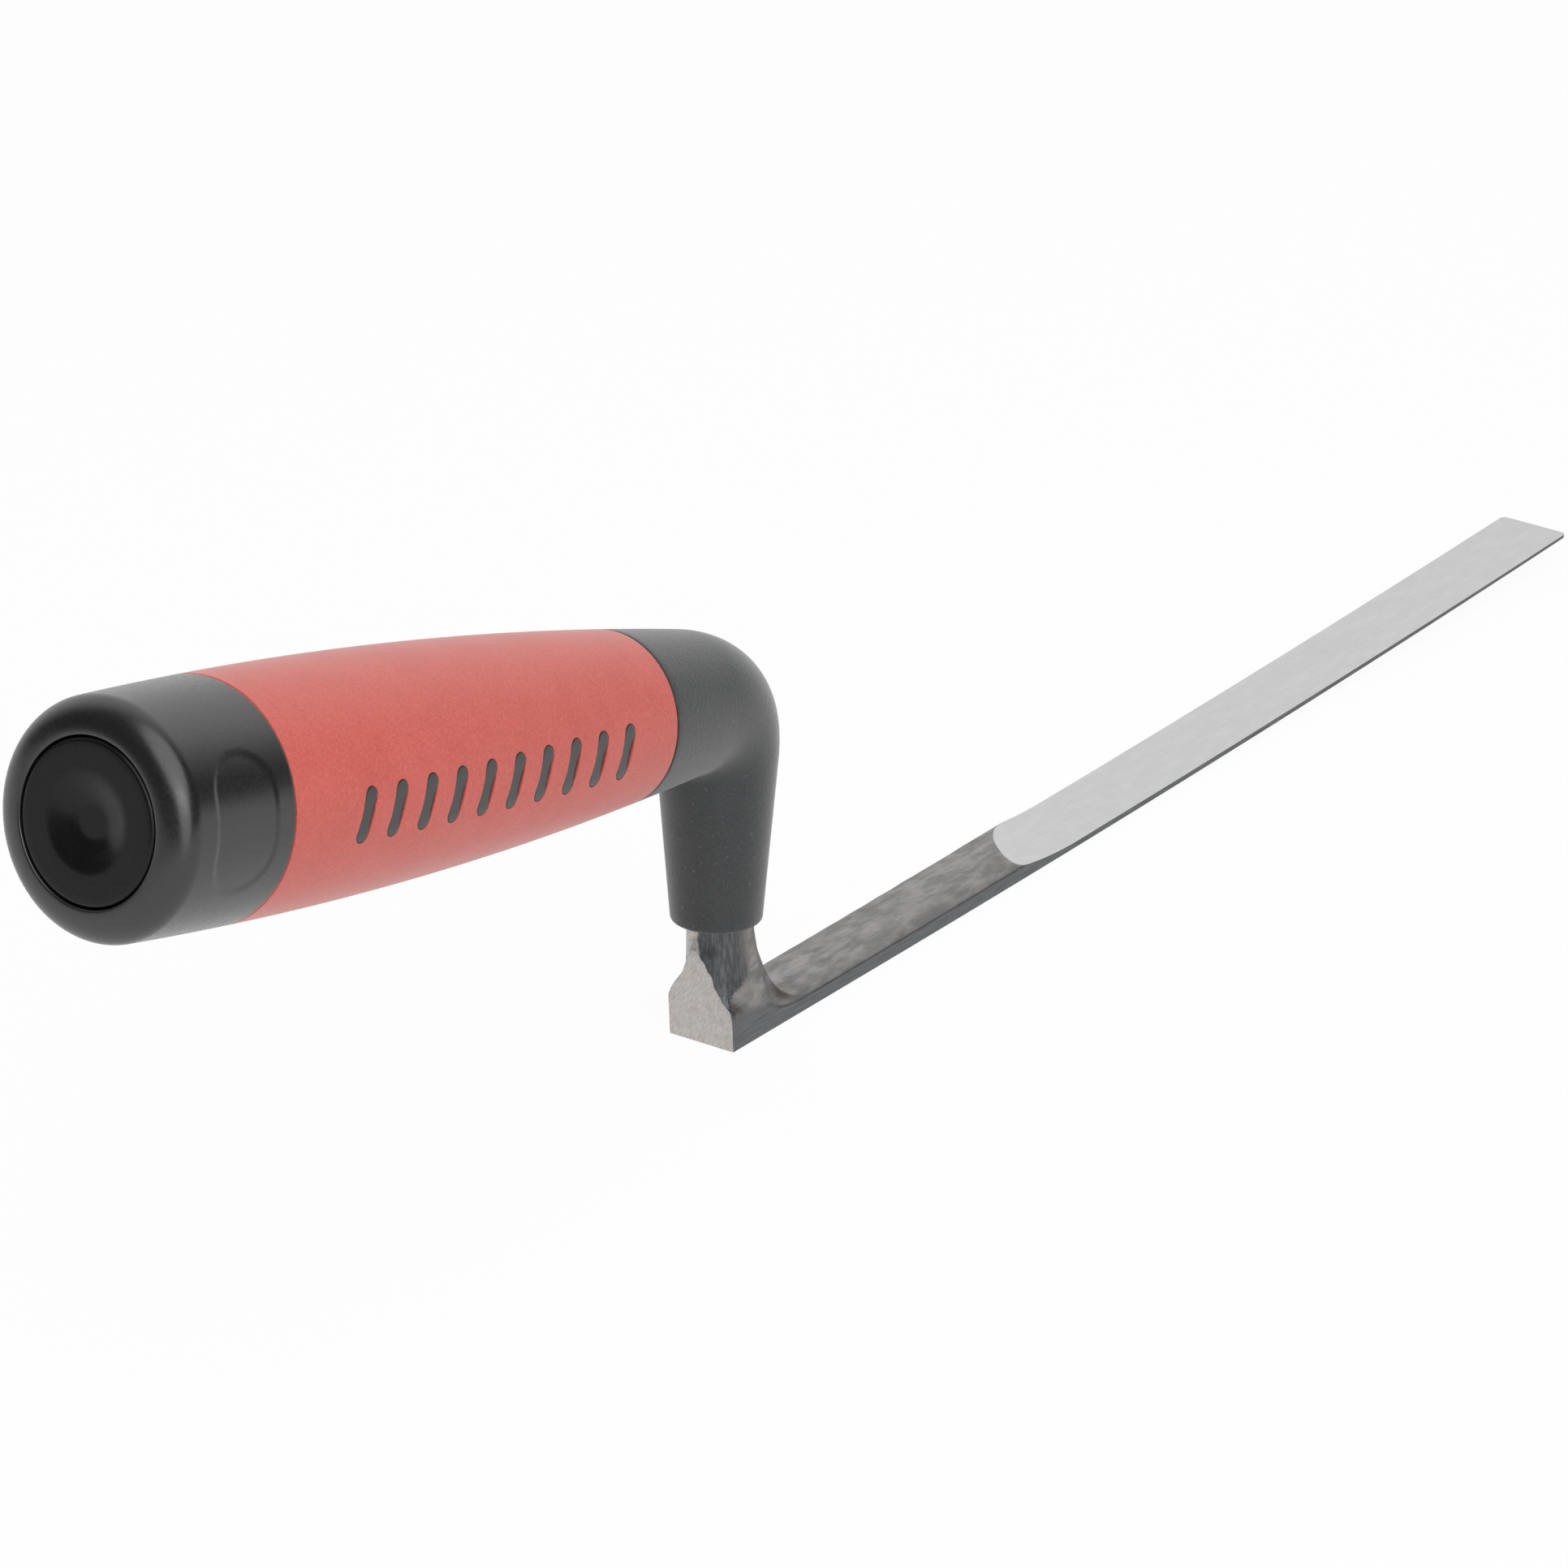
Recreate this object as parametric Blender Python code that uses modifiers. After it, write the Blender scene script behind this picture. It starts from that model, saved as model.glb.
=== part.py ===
"""Tuck pointer: a narrow forged pointing blade on a cranked shank, with a soft-grip handle.

Metres, +Z up. The origin is on the sole, where the shank's axis meets it. +X runs along the blade
to its tip, and the tool is symmetric about the XZ plane.
"""

import math

import bmesh
import bpy
from mathutils import Vector

MM = 0.001

# Fits: every two touching pieces keep this gap
GAP = 0.3 * MM

# Blade and heel of the forging
BLADE_LENGTH = 171.45 * MM      # rear face of the heel to the tip
BLADE_WIDTH = 9.525 * MM        # at the heel
TIP_WIDTH = 9.8 * MM
HEEL_BACK = 3.1 * MM            # rear face behind the shank's axis, on the sole
HEEL_LENGTH = 13.0 * MM         # the heel falls to the blade's height over this length
HEEL_EDGE = 5.0 * MM            # height of the heel's side face
HEEL_CROWN = 1.3 * MM           # rise of the heel's top above its sides
FORGED_EDGE = 1.4 * MM          # height of the forged blade's side face
FORGED_CROWN = 0.9 * MM
CROWN_POWER = 2.2               # roundness of the crowned section
SOLE_FLAT = 30.0 * MM           # flat stretch of the sole, from the rear face
TIP_RISE = 2.8 * MM             # the sole sweeps up by this much at the tip
TIP_THICKNESS = 0.5 * MM
TIP_CORNER = 0.7 * MM
GRIND_START = 59.0 * MM         # the ground top face starts here, from the rear face
GRIND_RUNOUT = 12.0 * MM
GROUND_THICKNESS = 1.05 * MM    # blade thickness where the run-out ends

# Shank and tang of the forging
SHANK_DIAMETER = 8.0 * MM
SHANK_LEAN = math.radians(4.1)  # the shank leans forward of upright
FOOT_FRONT = 12.3 * MM          # fillet at the shank's foot, towards the tip
FOOT_REAR = 4.2 * MM
FOOT_INSET = 0.5 * MM           # the fillet starts this far inside the shank's surface
REAR_STOCK = 0.5 * MM           # stock that the grinding of the rear face takes off
TANG_BEND = 8.0 * MM            # bend radius of the tang's centre line
TANG_CHAMFER = 0.8 * MM

# Handle as a whole
HANDLE_TILT = math.radians(13.75)   # the handle rises to the rear by this angle
ELBOW_HEIGHT = 42.9 * MM        # sole to the meeting of the two axes, along the shank
ELBOW_SETBACK = 21.35 * MM      # elbow to the sleeve's front seam, along the handle
SLEEVE_LENGTH = 74.0 * MM
REAR_LENGTH = 19.1 * MM         # bare rear end of the core
BELLY_DIAMETER = 28.5 * MM
BELLY_SETBACK = 1.6 * MM        # thickest point, in front of the sleeve's rear seam
FRONT_DIAMETER = 20.7 * MM      # at the sleeve's front seam

# Neck boot
COLLAR_HEIGHT = 15.5 * MM       # sole to the boot's lower rim, along the shank
COLLAR_WALL = 1.15 * MM
COLLAR_ROUNDING = 0.45 * MM
NECK_SETBACK = 0.45 * MM        # the neck's axis behind the shank's
NECK_WALL = 3.55 * MM            # wall of the neck, extended up to the elbow
CROTCH_FILLET = 0.8 * MM        # inner corner between handle and neck
ELBOW_ROUNDNESS = 0.64          # fullness of the elbow's outer curve, 0.55 for about a circle

# Core, sleeve and the slots that the core fills
SLEEVE_WALL = 2.2 * MM
NOSE_WALL = 1.7 * MM
NOSE_LENGTH = 6.0 * MM
REAR_ROUNDING = 3.2 * MM        # length of the rounded rear edge
REAR_LAND = 0.3 * MM            # flat rim round the plug
SLOT_COUNT = 10
SLOT_PITCH = 5.6 * MM
SLOT_LENGTH = 6.6 * MM
SLOT_WIDTH = 2.1 * MM
SLOT_SLANT = math.radians(12)
SLOT_OFFSET = -1.0 * MM         # middle of the row behind the sleeve's middle

# Nut and washer on the tang
NUT_SEAT_DEPTH = 40.0 * MM      # rear end to the washer's seat
NUT_SIDES = 6
NUT_FLATS = 13.0 * MM
NUT_HEIGHT = 6.5 * MM
NUT_CHAMFER = 0.5 * MM
WASHER_THICKNESS = 1.6 * MM
WRENCH_ROOM = 0.9 * MM          # nut's corners to the bore
TANG_PROUD = 2.4 * MM           # tang beyond the nut

# Plug
PLUG_STEP = 1.34 * MM           # step that stops the plug
PLUG_LENGTH = 9.0 * MM
PLUG_WALL = 1.5 * MM
PLUG_ROUNDING = 0.5 * MM
DISH_DIAMETER = 9.4 * MM
DISH_DEPTH = 0.8 * MM
DISH_SLOPE = 0.9 * MM

# Smoothness of the solids
TURN_STEPS = 48
BARREL_STEPS = 8
ROUNDING_STEPS = 8
EDGE_STEPS = 4                  # small rounded edges
TUBE_RESOLUTION = 8
BEND_STEPS = 10
RING_POINTS = 36
FAN_STEPS = 14                  # sections round the elbow
STRAIGHT_STEPS = 4              # sections along each arm of the boot
SLOT_END_STEPS = 6
CROWN_POINTS = 17
FOOT_STATIONS = 24
PLAIN_STATIONS = 4              # along each plain stretch of the forged blade
RUNOUT_STATIONS = 12
GROUND_STATIONS = 10
SHARP_ANGLE = math.radians(35)
MERGE_DISTANCE = 0.001 * MM

# Sizes that follow from those above
TIP_X = BLADE_LENGTH - HEEL_BACK
FLAT_END = SOLE_FLAT - HEEL_BACK
RUNOUT_START = GRIND_START - HEEL_BACK
RUNOUT_END = RUNOUT_START + GRIND_RUNOUT
SHANK_RADIUS = SHANK_DIAMETER / 2
BORE_RADIUS = SHANK_RADIUS + GAP
FOOT_RADIUS = SHANK_RADIUS - FOOT_INSET
SEAM_FRONT = ELBOW_SETBACK
SEAM_REAR = SEAM_FRONT + SLEEVE_LENGTH
HANDLE_END = SEAM_REAR + REAR_LENGTH
SEAT = HANDLE_END - NUT_SEAT_DEPTH
NUT_RADIUS = NUT_FLATS / 2 / math.cos(math.pi / NUT_SIDES)
SOCKET_RADIUS = NUT_RADIUS + WRENCH_ROOM
WASHER_RADIUS = SOCKET_RADIUS - GAP
PLUG_BORE_RADIUS = SOCKET_RADIUS + PLUG_STEP
PLUG_RADIUS = PLUG_BORE_RADIUS - GAP
NOSE_RADIUS = BORE_RADIUS + NOSE_WALL
WASHER_FRONT = SEAT + GAP
NUT_FRONT = WASHER_FRONT + WASHER_THICKNESS + GAP
TANG_END = NUT_FRONT + NUT_HEIGHT + TANG_PROUD
BELLY = SEAM_REAR - BELLY_SETBACK
BELLY_DROP = (BELLY_DIAMETER - FRONT_DIAMETER) / 2
BARREL_RADIUS = ((BELLY - SEAM_FRONT) ** 2 + BELLY_DROP ** 2) / (2 * BELLY_DROP)

# Directions in the XZ plane
UP_SHANK = Vector((math.sin(SHANK_LEAN), 0, math.cos(SHANK_LEAN)))
BEFORE_SHANK = Vector((math.cos(SHANK_LEAN), 0, -math.sin(SHANK_LEAN)))
ALONG_HANDLE = Vector((-math.cos(HANDLE_TILT), 0, math.sin(HANDLE_TILT)))
ABOVE_HANDLE = Vector((math.sin(HANDLE_TILT), 0, math.cos(HANDLE_TILT)))
SIDE = Vector((0, 1, 0))
ELBOW = UP_SHANK * ELBOW_HEIGHT
TURN = math.pi / 2 - (HANDLE_TILT - SHANK_LEAN)


# Scene, materials and modelling helpers

def clear_scene():
    for old in list(bpy.data.objects):
        bpy.data.objects.remove(old, do_unlink=True)


def new_collection(name):
    collection = bpy.data.collections.new(name)
    bpy.context.scene.collection.children.link(collection)
    return collection


def new_material(name, colour, roughness, metallic):
    material = bpy.data.materials.new(name)
    material.use_nodes = True
    shader = material.node_tree.nodes["Principled BSDF"]
    shader.inputs["Base Color"].default_value = (*colour, 1)
    shader.inputs["Roughness"].default_value = roughness
    shader.inputs["Metallic"].default_value = metallic
    material.diffuse_color = (*colour, 1)
    return material


def add_part(name, mesh, material, parent=None):
    part = bpy.data.objects.new(name, mesh)
    part.parent = parent
    mesh.materials.append(material)
    PARTS.objects.link(part)
    return part


def add_cutter(name, mesh, parent=None):
    cutter = bpy.data.objects.new(name, mesh)
    cutter.parent = parent
    cutter.hide_render = True
    cutter.display_type = "WIRE"
    CUTTERS.objects.link(cutter)
    return cutter


def boolean(target, other, operation):
    modifier = target.modifiers.new(f"{operation.lower()}_{other.name}", "BOOLEAN")
    modifier.operation = operation
    modifier.object = other
    modifier.solver = "EXACT"


def smooth(mesh):
    mesh.shade_smooth()
    mesh.set_sharp_from_angle(angle=SHARP_ANGLE)


def turn(part, profile, closed):
    """Give an object a profile of (radius, height) points, turned about its own Z axis."""
    mesh = part.data
    points = [(radius, 0, height) for radius, height in profile]
    edges = [(index, index + 1) for index in range(len(points) - 1)]
    if closed:
        edges.append((len(points) - 1, 0))
    mesh.from_pydata(points, edges, [])
    screw = part.modifiers.new("turned", "SCREW")
    screw.steps = TURN_STEPS
    screw.render_steps = TURN_STEPS
    screw.use_merge_vertices = True
    screw.merge_threshold = MERGE_DISTANCE
    screw.use_smooth_shade = True


def turned_part(name, profile, closed, material, parent):
    part = add_part(name, bpy.data.meshes.new(name), material, parent)
    turn(part, profile, closed)
    return part


def turned_cutter(name, profile, closed, parent):
    cutter = add_cutter(name, bpy.data.meshes.new(name), parent)
    turn(cutter, profile, closed)
    return cutter


def loft(name, rings):
    """Join closed rings of equally many points into one capped solid."""
    form = bmesh.new()
    loops = [[form.verts.new(point) for point in ring] for ring in rings]
    for near, far in zip(loops, loops[1:]):
        for index in range(len(near)):
            form.faces.new((near[index - 1], near[index], far[index], far[index - 1]))
    form.faces.new(loops[0])
    form.faces.new(loops[-1])
    bmesh.ops.recalc_face_normals(form, faces=form.faces)
    mesh = bpy.data.meshes.new(name)
    form.to_mesh(mesh)
    form.free()
    smooth(mesh)
    return mesh


def curve_mesh(name, curve):
    """A filled curve as a closed mesh, with its caps welded."""
    holder = bpy.data.objects.new(name, curve)
    CUTTERS.objects.link(holder)
    evaluated = holder.evaluated_get(bpy.context.evaluated_depsgraph_get())
    mesh = bpy.data.meshes.new_from_object(evaluated)
    bpy.data.objects.remove(holder, do_unlink=True)
    form = bmesh.new()
    form.from_mesh(mesh)
    bmesh.ops.remove_doubles(form, verts=form.verts, dist=MERGE_DISTANCE)
    form.to_mesh(mesh)
    form.free()
    return mesh


def tube_mesh(name, points, radius, end_radius=None):
    """A round bar along a line of points, whose last point may be thinner."""
    curve = bpy.data.curves.new(name, "CURVE")
    curve.dimensions = "3D"
    curve.bevel_depth = radius
    curve.bevel_resolution = TUBE_RESOLUTION
    curve.use_fill_caps = True
    spline = curve.splines.new("POLY")
    spline.points.add(len(points) - 1)
    for control, point in zip(spline.points, points):
        control.co = (*point, 1)
    if end_radius is not None:
        spline.points[-1].radius = end_radius / radius
    return curve_mesh(name, curve)


# Curves that several pieces share

def spread(start, end, count):
    """Evenly spaced values from start up to, but not at, end."""
    return [start + (end - start) * index / count for index in range(count)]


def fade(share):
    """Smooth fall from 1 at share 0 to 0 at share 1."""
    share = min(max(share, 0), 1)
    return 1 - share * share * (3 - 2 * share)


def on_shank(height):
    return UP_SHANK * height


def on_neck(height):
    return on_shank(height) - BEFORE_SHANK * NECK_SETBACK


def on_handle(distance):
    return ELBOW + ALONG_HANDLE * distance


def barrel(distance):
    """Outer radius of the handle at a distance behind the elbow."""
    away = distance - BELLY
    return BELLY_DIAMETER / 2 - BARREL_RADIUS + math.sqrt(BARREL_RADIUS ** 2 - away ** 2)


def neck(height):
    """Outer radius of the neck at a height along the shank."""
    share = (height - COLLAR_HEIGHT) / (ELBOW_HEIGHT - COLLAR_HEIGHT)
    return BORE_RADIUS + COLLAR_WALL + (NECK_WALL - COLLAR_WALL) * share


def tang_route(lowest, farthest):
    """Centre line up the shank, round the bend and along the handle."""
    tangent = TANG_BEND * math.tan(TURN / 2)
    start = on_shank(ELBOW_HEIGHT - tangent)
    centre = start - BEFORE_SHANK * TANG_BEND
    route = [on_shank(lowest)]
    for step in range(BEND_STEPS + 1):
        angle = TURN * step / BEND_STEPS
        route.append(centre + (BEFORE_SHANK * math.cos(angle) + UP_SHANK * math.sin(angle)) * TANG_BEND)
    route.append(on_handle(farthest))
    return route


def arc(centre, half_width, half_height, start, end, count):
    """Points of an elliptical arc in a turned profile, with angles in degrees from the radius."""
    angles = [math.radians(start + (end - start) * step / count) for step in range(count + 1)]
    return [(centre[0] + half_width * math.cos(a), centre[1] + half_height * math.sin(a)) for a in angles]


# Forging: blade, heel, shank and tang

def sole(x):
    return TIP_RISE * (max(x - FLAT_END, 0) / (TIP_X - FLAT_END)) ** 2


def half_width(x):
    """Half the blade's width, with the tip's corners rounded."""
    share = (x + HEEL_BACK) / BLADE_LENGTH
    full = (BLADE_WIDTH + (TIP_WIDTH - BLADE_WIDTH) * share) / 2
    past = max(x - (TIP_X - TIP_CORNER), 0)
    return full - TIP_CORNER + math.sqrt(max(TIP_CORNER ** 2 - past ** 2, 0))


def shank_foot(x, y, height):
    """Rise of the fillet round the shank's foot, which is larger in front than behind."""
    ahead = x - height * math.tan(SHANK_LEAN)
    away = max(math.hypot(ahead, y), FOOT_RADIUS)
    front_share = (1 + ahead / away) / 2
    fillet = FOOT_REAR + (FOOT_FRONT - FOOT_REAR) * front_share
    reach = max(fillet - (away - FOOT_RADIUS), 0)
    return fillet - math.sqrt(fillet ** 2 - reach ** 2)


def forged_height(x, share):
    """Height of the forged top above the sole, at a share of the half width."""
    heel = fade((x + HEEL_BACK) / HEEL_LENGTH)
    edge = FORGED_EDGE + (HEEL_EDGE - FORGED_EDGE) * heel
    crown = FORGED_CROWN + (HEEL_CROWN - FORGED_CROWN) * heel
    height = edge + crown * (1 - abs(share) ** CROWN_POWER) ** (1 / CROWN_POWER)
    return height + shank_foot(x, share * half_width(x), height)


def ground_height(x):
    """Blade thickness left by the grinding of the top face."""
    taper = max(x - RUNOUT_END, 0) / (TIP_X - RUNOUT_END)
    runout = max(RUNOUT_END - x, 0) / GRIND_RUNOUT
    full = FORGED_EDGE + FORGED_CROWN - GROUND_THICKNESS
    return GROUND_THICKNESS + (TIP_THICKNESS - GROUND_THICKNESS) * taper + full * runout ** 2


def blade_stations():
    corner = TIP_X - TIP_CORNER
    start = -HEEL_BACK - REAR_STOCK
    foot_end = FOOT_RADIUS + FOOT_FRONT
    marks = sorted([start, foot_end, FLAT_END, RUNOUT_START, RUNOUT_END, corner])
    counts = [FOOT_STATIONS, PLAIN_STATIONS, PLAIN_STATIONS, RUNOUT_STATIONS, GROUND_STATIONS]
    stations = []
    for mark, next_mark, count in zip(marks, marks[1:], counts):
        stations += spread(mark, next_mark, count)
    for step in range(EDGE_STEPS + 1):
        stations.append(corner + TIP_CORNER * math.sin(math.pi / 2 * step / EDGE_STEPS))
    return stations


def blade_section(x):
    """Ring of points: the flat sole, then the crowned or ground top from one side to the other."""
    half = half_width(x)
    base = sole(x)
    ring = [Vector((x, half, base)), Vector((x, -half, base))]
    for index in range(CROWN_POINTS):
        share = -math.cos(math.pi * index / (CROWN_POINTS - 1))
        height = min(forged_height(x, share), ground_height(x))
        ring.append(Vector((x, share * half, base + height)))
    return ring


def make_forging():
    blade = loft("blade_and_tang", [blade_section(x) for x in blade_stations()])
    forging = add_part("blade_and_tang", blade, STEEL)
    foot = HEEL_EDGE / 2
    chamfer_start = TANG_END - TANG_CHAMFER
    route = tang_route(foot, chamfer_start) + [on_handle(TANG_END)]
    tang = tube_mesh("tang", route, SHANK_RADIUS, SHANK_RADIUS - TANG_CHAMFER)
    boolean(forging, add_cutter("tang", tang), "UNION")
    size = SHANK_DIAMETER + BLADE_WIDTH + COLLAR_HEIGHT
    grind = bmesh.new()
    bmesh.ops.create_cube(grind, size=2 * size)
    bmesh.ops.translate(grind, verts=grind.verts, vec=(-HEEL_BACK - size, 0, 0))
    mesh = bpy.data.meshes.new("rear_grind")
    grind.to_mesh(mesh)
    grind.free()
    boolean(forging, add_cutter("rear_grind", mesh), "DIFFERENCE")


# Neck boot: elbow and neck as one loft of elliptical sections

def section(inner, outer, side_radius):
    """Ring through an inner and an outer point of the XZ plane."""
    middle = (inner + outer) / 2
    reach = (outer - inner) / 2
    ring = []
    for index in range(RING_POINTS):
        angle = 2 * math.pi * index / RING_POINTS
        ring.append(middle + reach * math.cos(angle) + SIDE * side_radius * math.sin(angle))
    return ring


def handle_section(distance):
    reach = ABOVE_HANDLE * barrel(distance)
    return on_handle(distance) - reach, on_handle(distance) + reach, barrel(distance)


def neck_section(height):
    reach = BEFORE_SHANK * neck(height)
    return on_neck(height) - reach, on_neck(height) + reach, neck(height)


def crotch():
    """Distance along the handle where its underside meets the back of the neck."""
    near, far = 0, SEAM_FRONT
    for _ in range(40):
        distance = (near + far) / 2
        point = handle_section(distance)[0]
        if point.dot(BEFORE_SHANK) + NECK_SETBACK + neck(point.dot(UP_SHANK)) > 0:
            near = distance
        else:
            far = distance
    return near


def crossing(first, first_way, second, second_way):
    """Meeting point of two lines in the XZ plane."""
    apart = second - first
    turn_rate = first_way.x * second_way.z - first_way.z * second_way.x
    return first + first_way * ((apart.x * second_way.z - apart.z * second_way.x) / turn_rate)


def bezier(start, start_control, end_control, end, share):
    rest = 1 - share
    return (start * rest ** 3 + start_control * 3 * rest ** 2 * share
            + end_control * 3 * rest * share ** 2 + end * share ** 3)


def boot_rings():
    corner_distance = crotch()
    corner = handle_section(corner_distance)[0]
    handle_stop = corner_distance + CROTCH_FILLET
    neck_stop = corner.dot(UP_SHANK) - CROTCH_FILLET
    near_inner, near_outer, near_side = handle_section(handle_stop)
    far_inner, far_outer, far_side = neck_section(neck_stop)
    top_way = near_outer - handle_section(handle_stop + CROTCH_FILLET)[1]
    front_way = far_outer - neck_section(neck_stop - CROTCH_FILLET)[1]
    peak = crossing(near_outer, top_way, far_outer, front_way)
    near_control = near_outer.lerp(peak, ELBOW_ROUNDNESS)
    far_control = far_outer.lerp(peak, ELBOW_ROUNDNESS)

    front = SEAM_FRONT - GAP / 2
    rings = [section(*handle_section(distance)) for distance in spread(front, handle_stop, STRAIGHT_STEPS)]
    for step in range(FAN_STEPS + 1):
        share = step / FAN_STEPS
        inner = near_inner.lerp(corner, share).lerp(corner.lerp(far_inner, share), share)
        outer = bezier(near_outer, near_control, far_control, far_outer, share)
        rings.append(section(inner, outer, near_side + (far_side - near_side) * share))
    rim = COLLAR_HEIGHT + COLLAR_ROUNDING
    rings += [section(*neck_section(height)) for height in spread(neck_stop, rim, STRAIGHT_STEPS)[1:]]
    for step in range(EDGE_STEPS + 1):
        angle = math.pi / 2 * step / EDGE_STEPS
        height = rim - COLLAR_ROUNDING * math.sin(angle)
        radius = neck(height) - COLLAR_ROUNDING * (1 - math.cos(angle))
        reach = BEFORE_SHANK * radius
        rings.append(section(on_neck(height) - reach, on_neck(height) + reach, radius))
    return rings


def make_boot():
    boot = add_part("neck_boot", loft("neck_boot", boot_rings()), BOOT_BLACK)
    route = tang_route(COLLAR_HEIGHT - NOSE_LENGTH, SEAM_FRONT + NOSE_LENGTH)
    boolean(boot, add_cutter("boot_bore", tube_mesh("boot_bore", route, BORE_RADIUS)), "DIFFERENCE")
    deep = SEAM_FRONT - GAP / 2 - NOSE_LENGTH - GAP
    radius = NOSE_RADIUS + GAP
    mouth = SEAM_FRONT + NOSE_LENGTH
    profile = [(0, mouth), (radius, mouth), (radius, deep), (0, deep)]
    boolean(boot, turned_cutter("boot_socket", profile, False, HANDLE), "DIFFERENCE")


# Handle core, sleeve and slots

def barrel_line(start, end, inset):
    """Points down the barrel from start to end, set in from its surface."""
    return [(barrel(distance) - inset, distance) for distance in spread(start, end, BARREL_STEPS) + [end]]


def core_outline():
    shoulder = SEAM_REAR + GAP / 2
    front = SEAM_FRONT + GAP / 2
    edge = HANDLE_END - REAR_ROUNDING
    inner = PLUG_BORE_RADIUS + REAR_LAND
    rounding = arc((inner, edge), barrel(edge) - inner, REAR_ROUNDING, 90, 0, ROUNDING_STEPS)
    outline = [(0, HANDLE_END)] + rounding
    outline += barrel_line(edge, shoulder, 0)[1:]
    outline += barrel_line(shoulder, front, SLEEVE_WALL + GAP)
    nose = front - NOSE_LENGTH
    return outline + [(NOSE_RADIUS, front), (NOSE_RADIUS, nose), (0, nose)]


def core_bore():
    step = HANDLE_END - PLUG_LENGTH - GAP
    beyond = HANDLE_END + PLUG_LENGTH
    front = SEAM_FRONT - 2 * NOSE_LENGTH
    return [(0, beyond), (PLUG_BORE_RADIUS, beyond), (PLUG_BORE_RADIUS, step), (SOCKET_RADIUS, step),
            (SOCKET_RADIUS, SEAT), (BORE_RADIUS, SEAT), (BORE_RADIUS, front), (0, front)]


def slot_bars(name, growth):
    """Row of slanted round-ended bars that run through the handle from side to side."""
    curve = bpy.data.curves.new(name, "CURVE")
    curve.dimensions = "2D"
    curve.fill_mode = "BOTH"
    curve.extrude = BELLY_DIAMETER
    middle = (SEAM_FRONT + SEAM_REAR) / 2 + SLOT_OFFSET
    radius = SLOT_WIDTH / 2 + growth
    straight = (SLOT_LENGTH - SLOT_WIDTH) / 2
    lean = Vector((math.cos(SLOT_SLANT), -math.sin(SLOT_SLANT)))
    across = Vector((math.sin(SLOT_SLANT), math.cos(SLOT_SLANT)))
    for index in range(SLOT_COUNT):
        centre = Vector((0, middle + SLOT_PITCH * (index - (SLOT_COUNT - 1) / 2)))
        spline = curve.splines.new("POLY")
        spline.use_cyclic_u = True
        outline = []
        for way in (1, -1):
            for step in range(SLOT_END_STEPS + 1):
                angle = math.pi * step / SLOT_END_STEPS
                bulge = lean * math.sin(angle) + across * math.cos(angle)
                outline.append(centre + (lean * straight + bulge * radius) * way)
        spline.points.add(len(outline) - 1)
        for control, point in zip(spline.points, outline):
            control.co = (point.x, point.y, 0, 1)
    mesh = curve_mesh(name, curve)
    bars = add_cutter(name, mesh, HANDLE)
    bars.rotation_euler = (math.pi / 2, 0, 0)
    return bars


def make_core():
    core = turned_part("handle_core", core_outline(), False, CORE_BLACK, HANDLE)
    lands = slot_bars("slot_lands", 0)
    front = SEAM_FRONT + GAP / 2
    rear = SEAM_REAR - GAP / 2
    profile = [(0, rear)] + barrel_line(rear, front, 0) + [(0, front)]
    boolean(lands, turned_cutter("slot_skin", profile, False, HANDLE), "INTERSECT")
    boolean(core, lands, "UNION")
    boolean(core, turned_cutter("core_bore", core_bore(), False, HANDLE), "DIFFERENCE")


def make_sleeve():
    front = SEAM_FRONT + GAP / 2
    rear = SEAM_REAR - GAP / 2
    profile = barrel_line(rear, front, 0) + barrel_line(front, rear, SLEEVE_WALL)
    sleeve = turned_part("grip_sleeve", profile, True, RED, HANDLE)
    boolean(sleeve, slot_bars("slot_windows", GAP), "DIFFERENCE")


# Plug, washer and nut

def make_plug():
    face = HANDLE_END
    dish = face - DISH_DEPTH
    dish_radius = DISH_DIAMETER / 2
    inside = PLUG_RADIUS - PLUG_WALL
    deep = face - PLUG_LENGTH
    profile = [(0, dish), (dish_radius - DISH_SLOPE, dish), (dish_radius, face)]
    corner = (PLUG_RADIUS - PLUG_ROUNDING, face - PLUG_ROUNDING)
    profile += arc(corner, PLUG_ROUNDING, PLUG_ROUNDING, 90, 0, EDGE_STEPS)
    profile += [(PLUG_RADIUS, deep), (inside, deep), (inside, dish - PLUG_WALL), (0, dish - PLUG_WALL)]
    turned_part("end_plug", profile, False, PLUG_BLACK, HANDLE)


def make_washer():
    rear = WASHER_FRONT + WASHER_THICKNESS
    outer = [(WASHER_RADIUS, rear), (WASHER_RADIUS, WASHER_FRONT)]
    profile = [(BORE_RADIUS, rear)] + outer + [(BORE_RADIUS, WASHER_FRONT)]
    turned_part("tang_washer", profile, True, ZINC, HANDLE)


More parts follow.
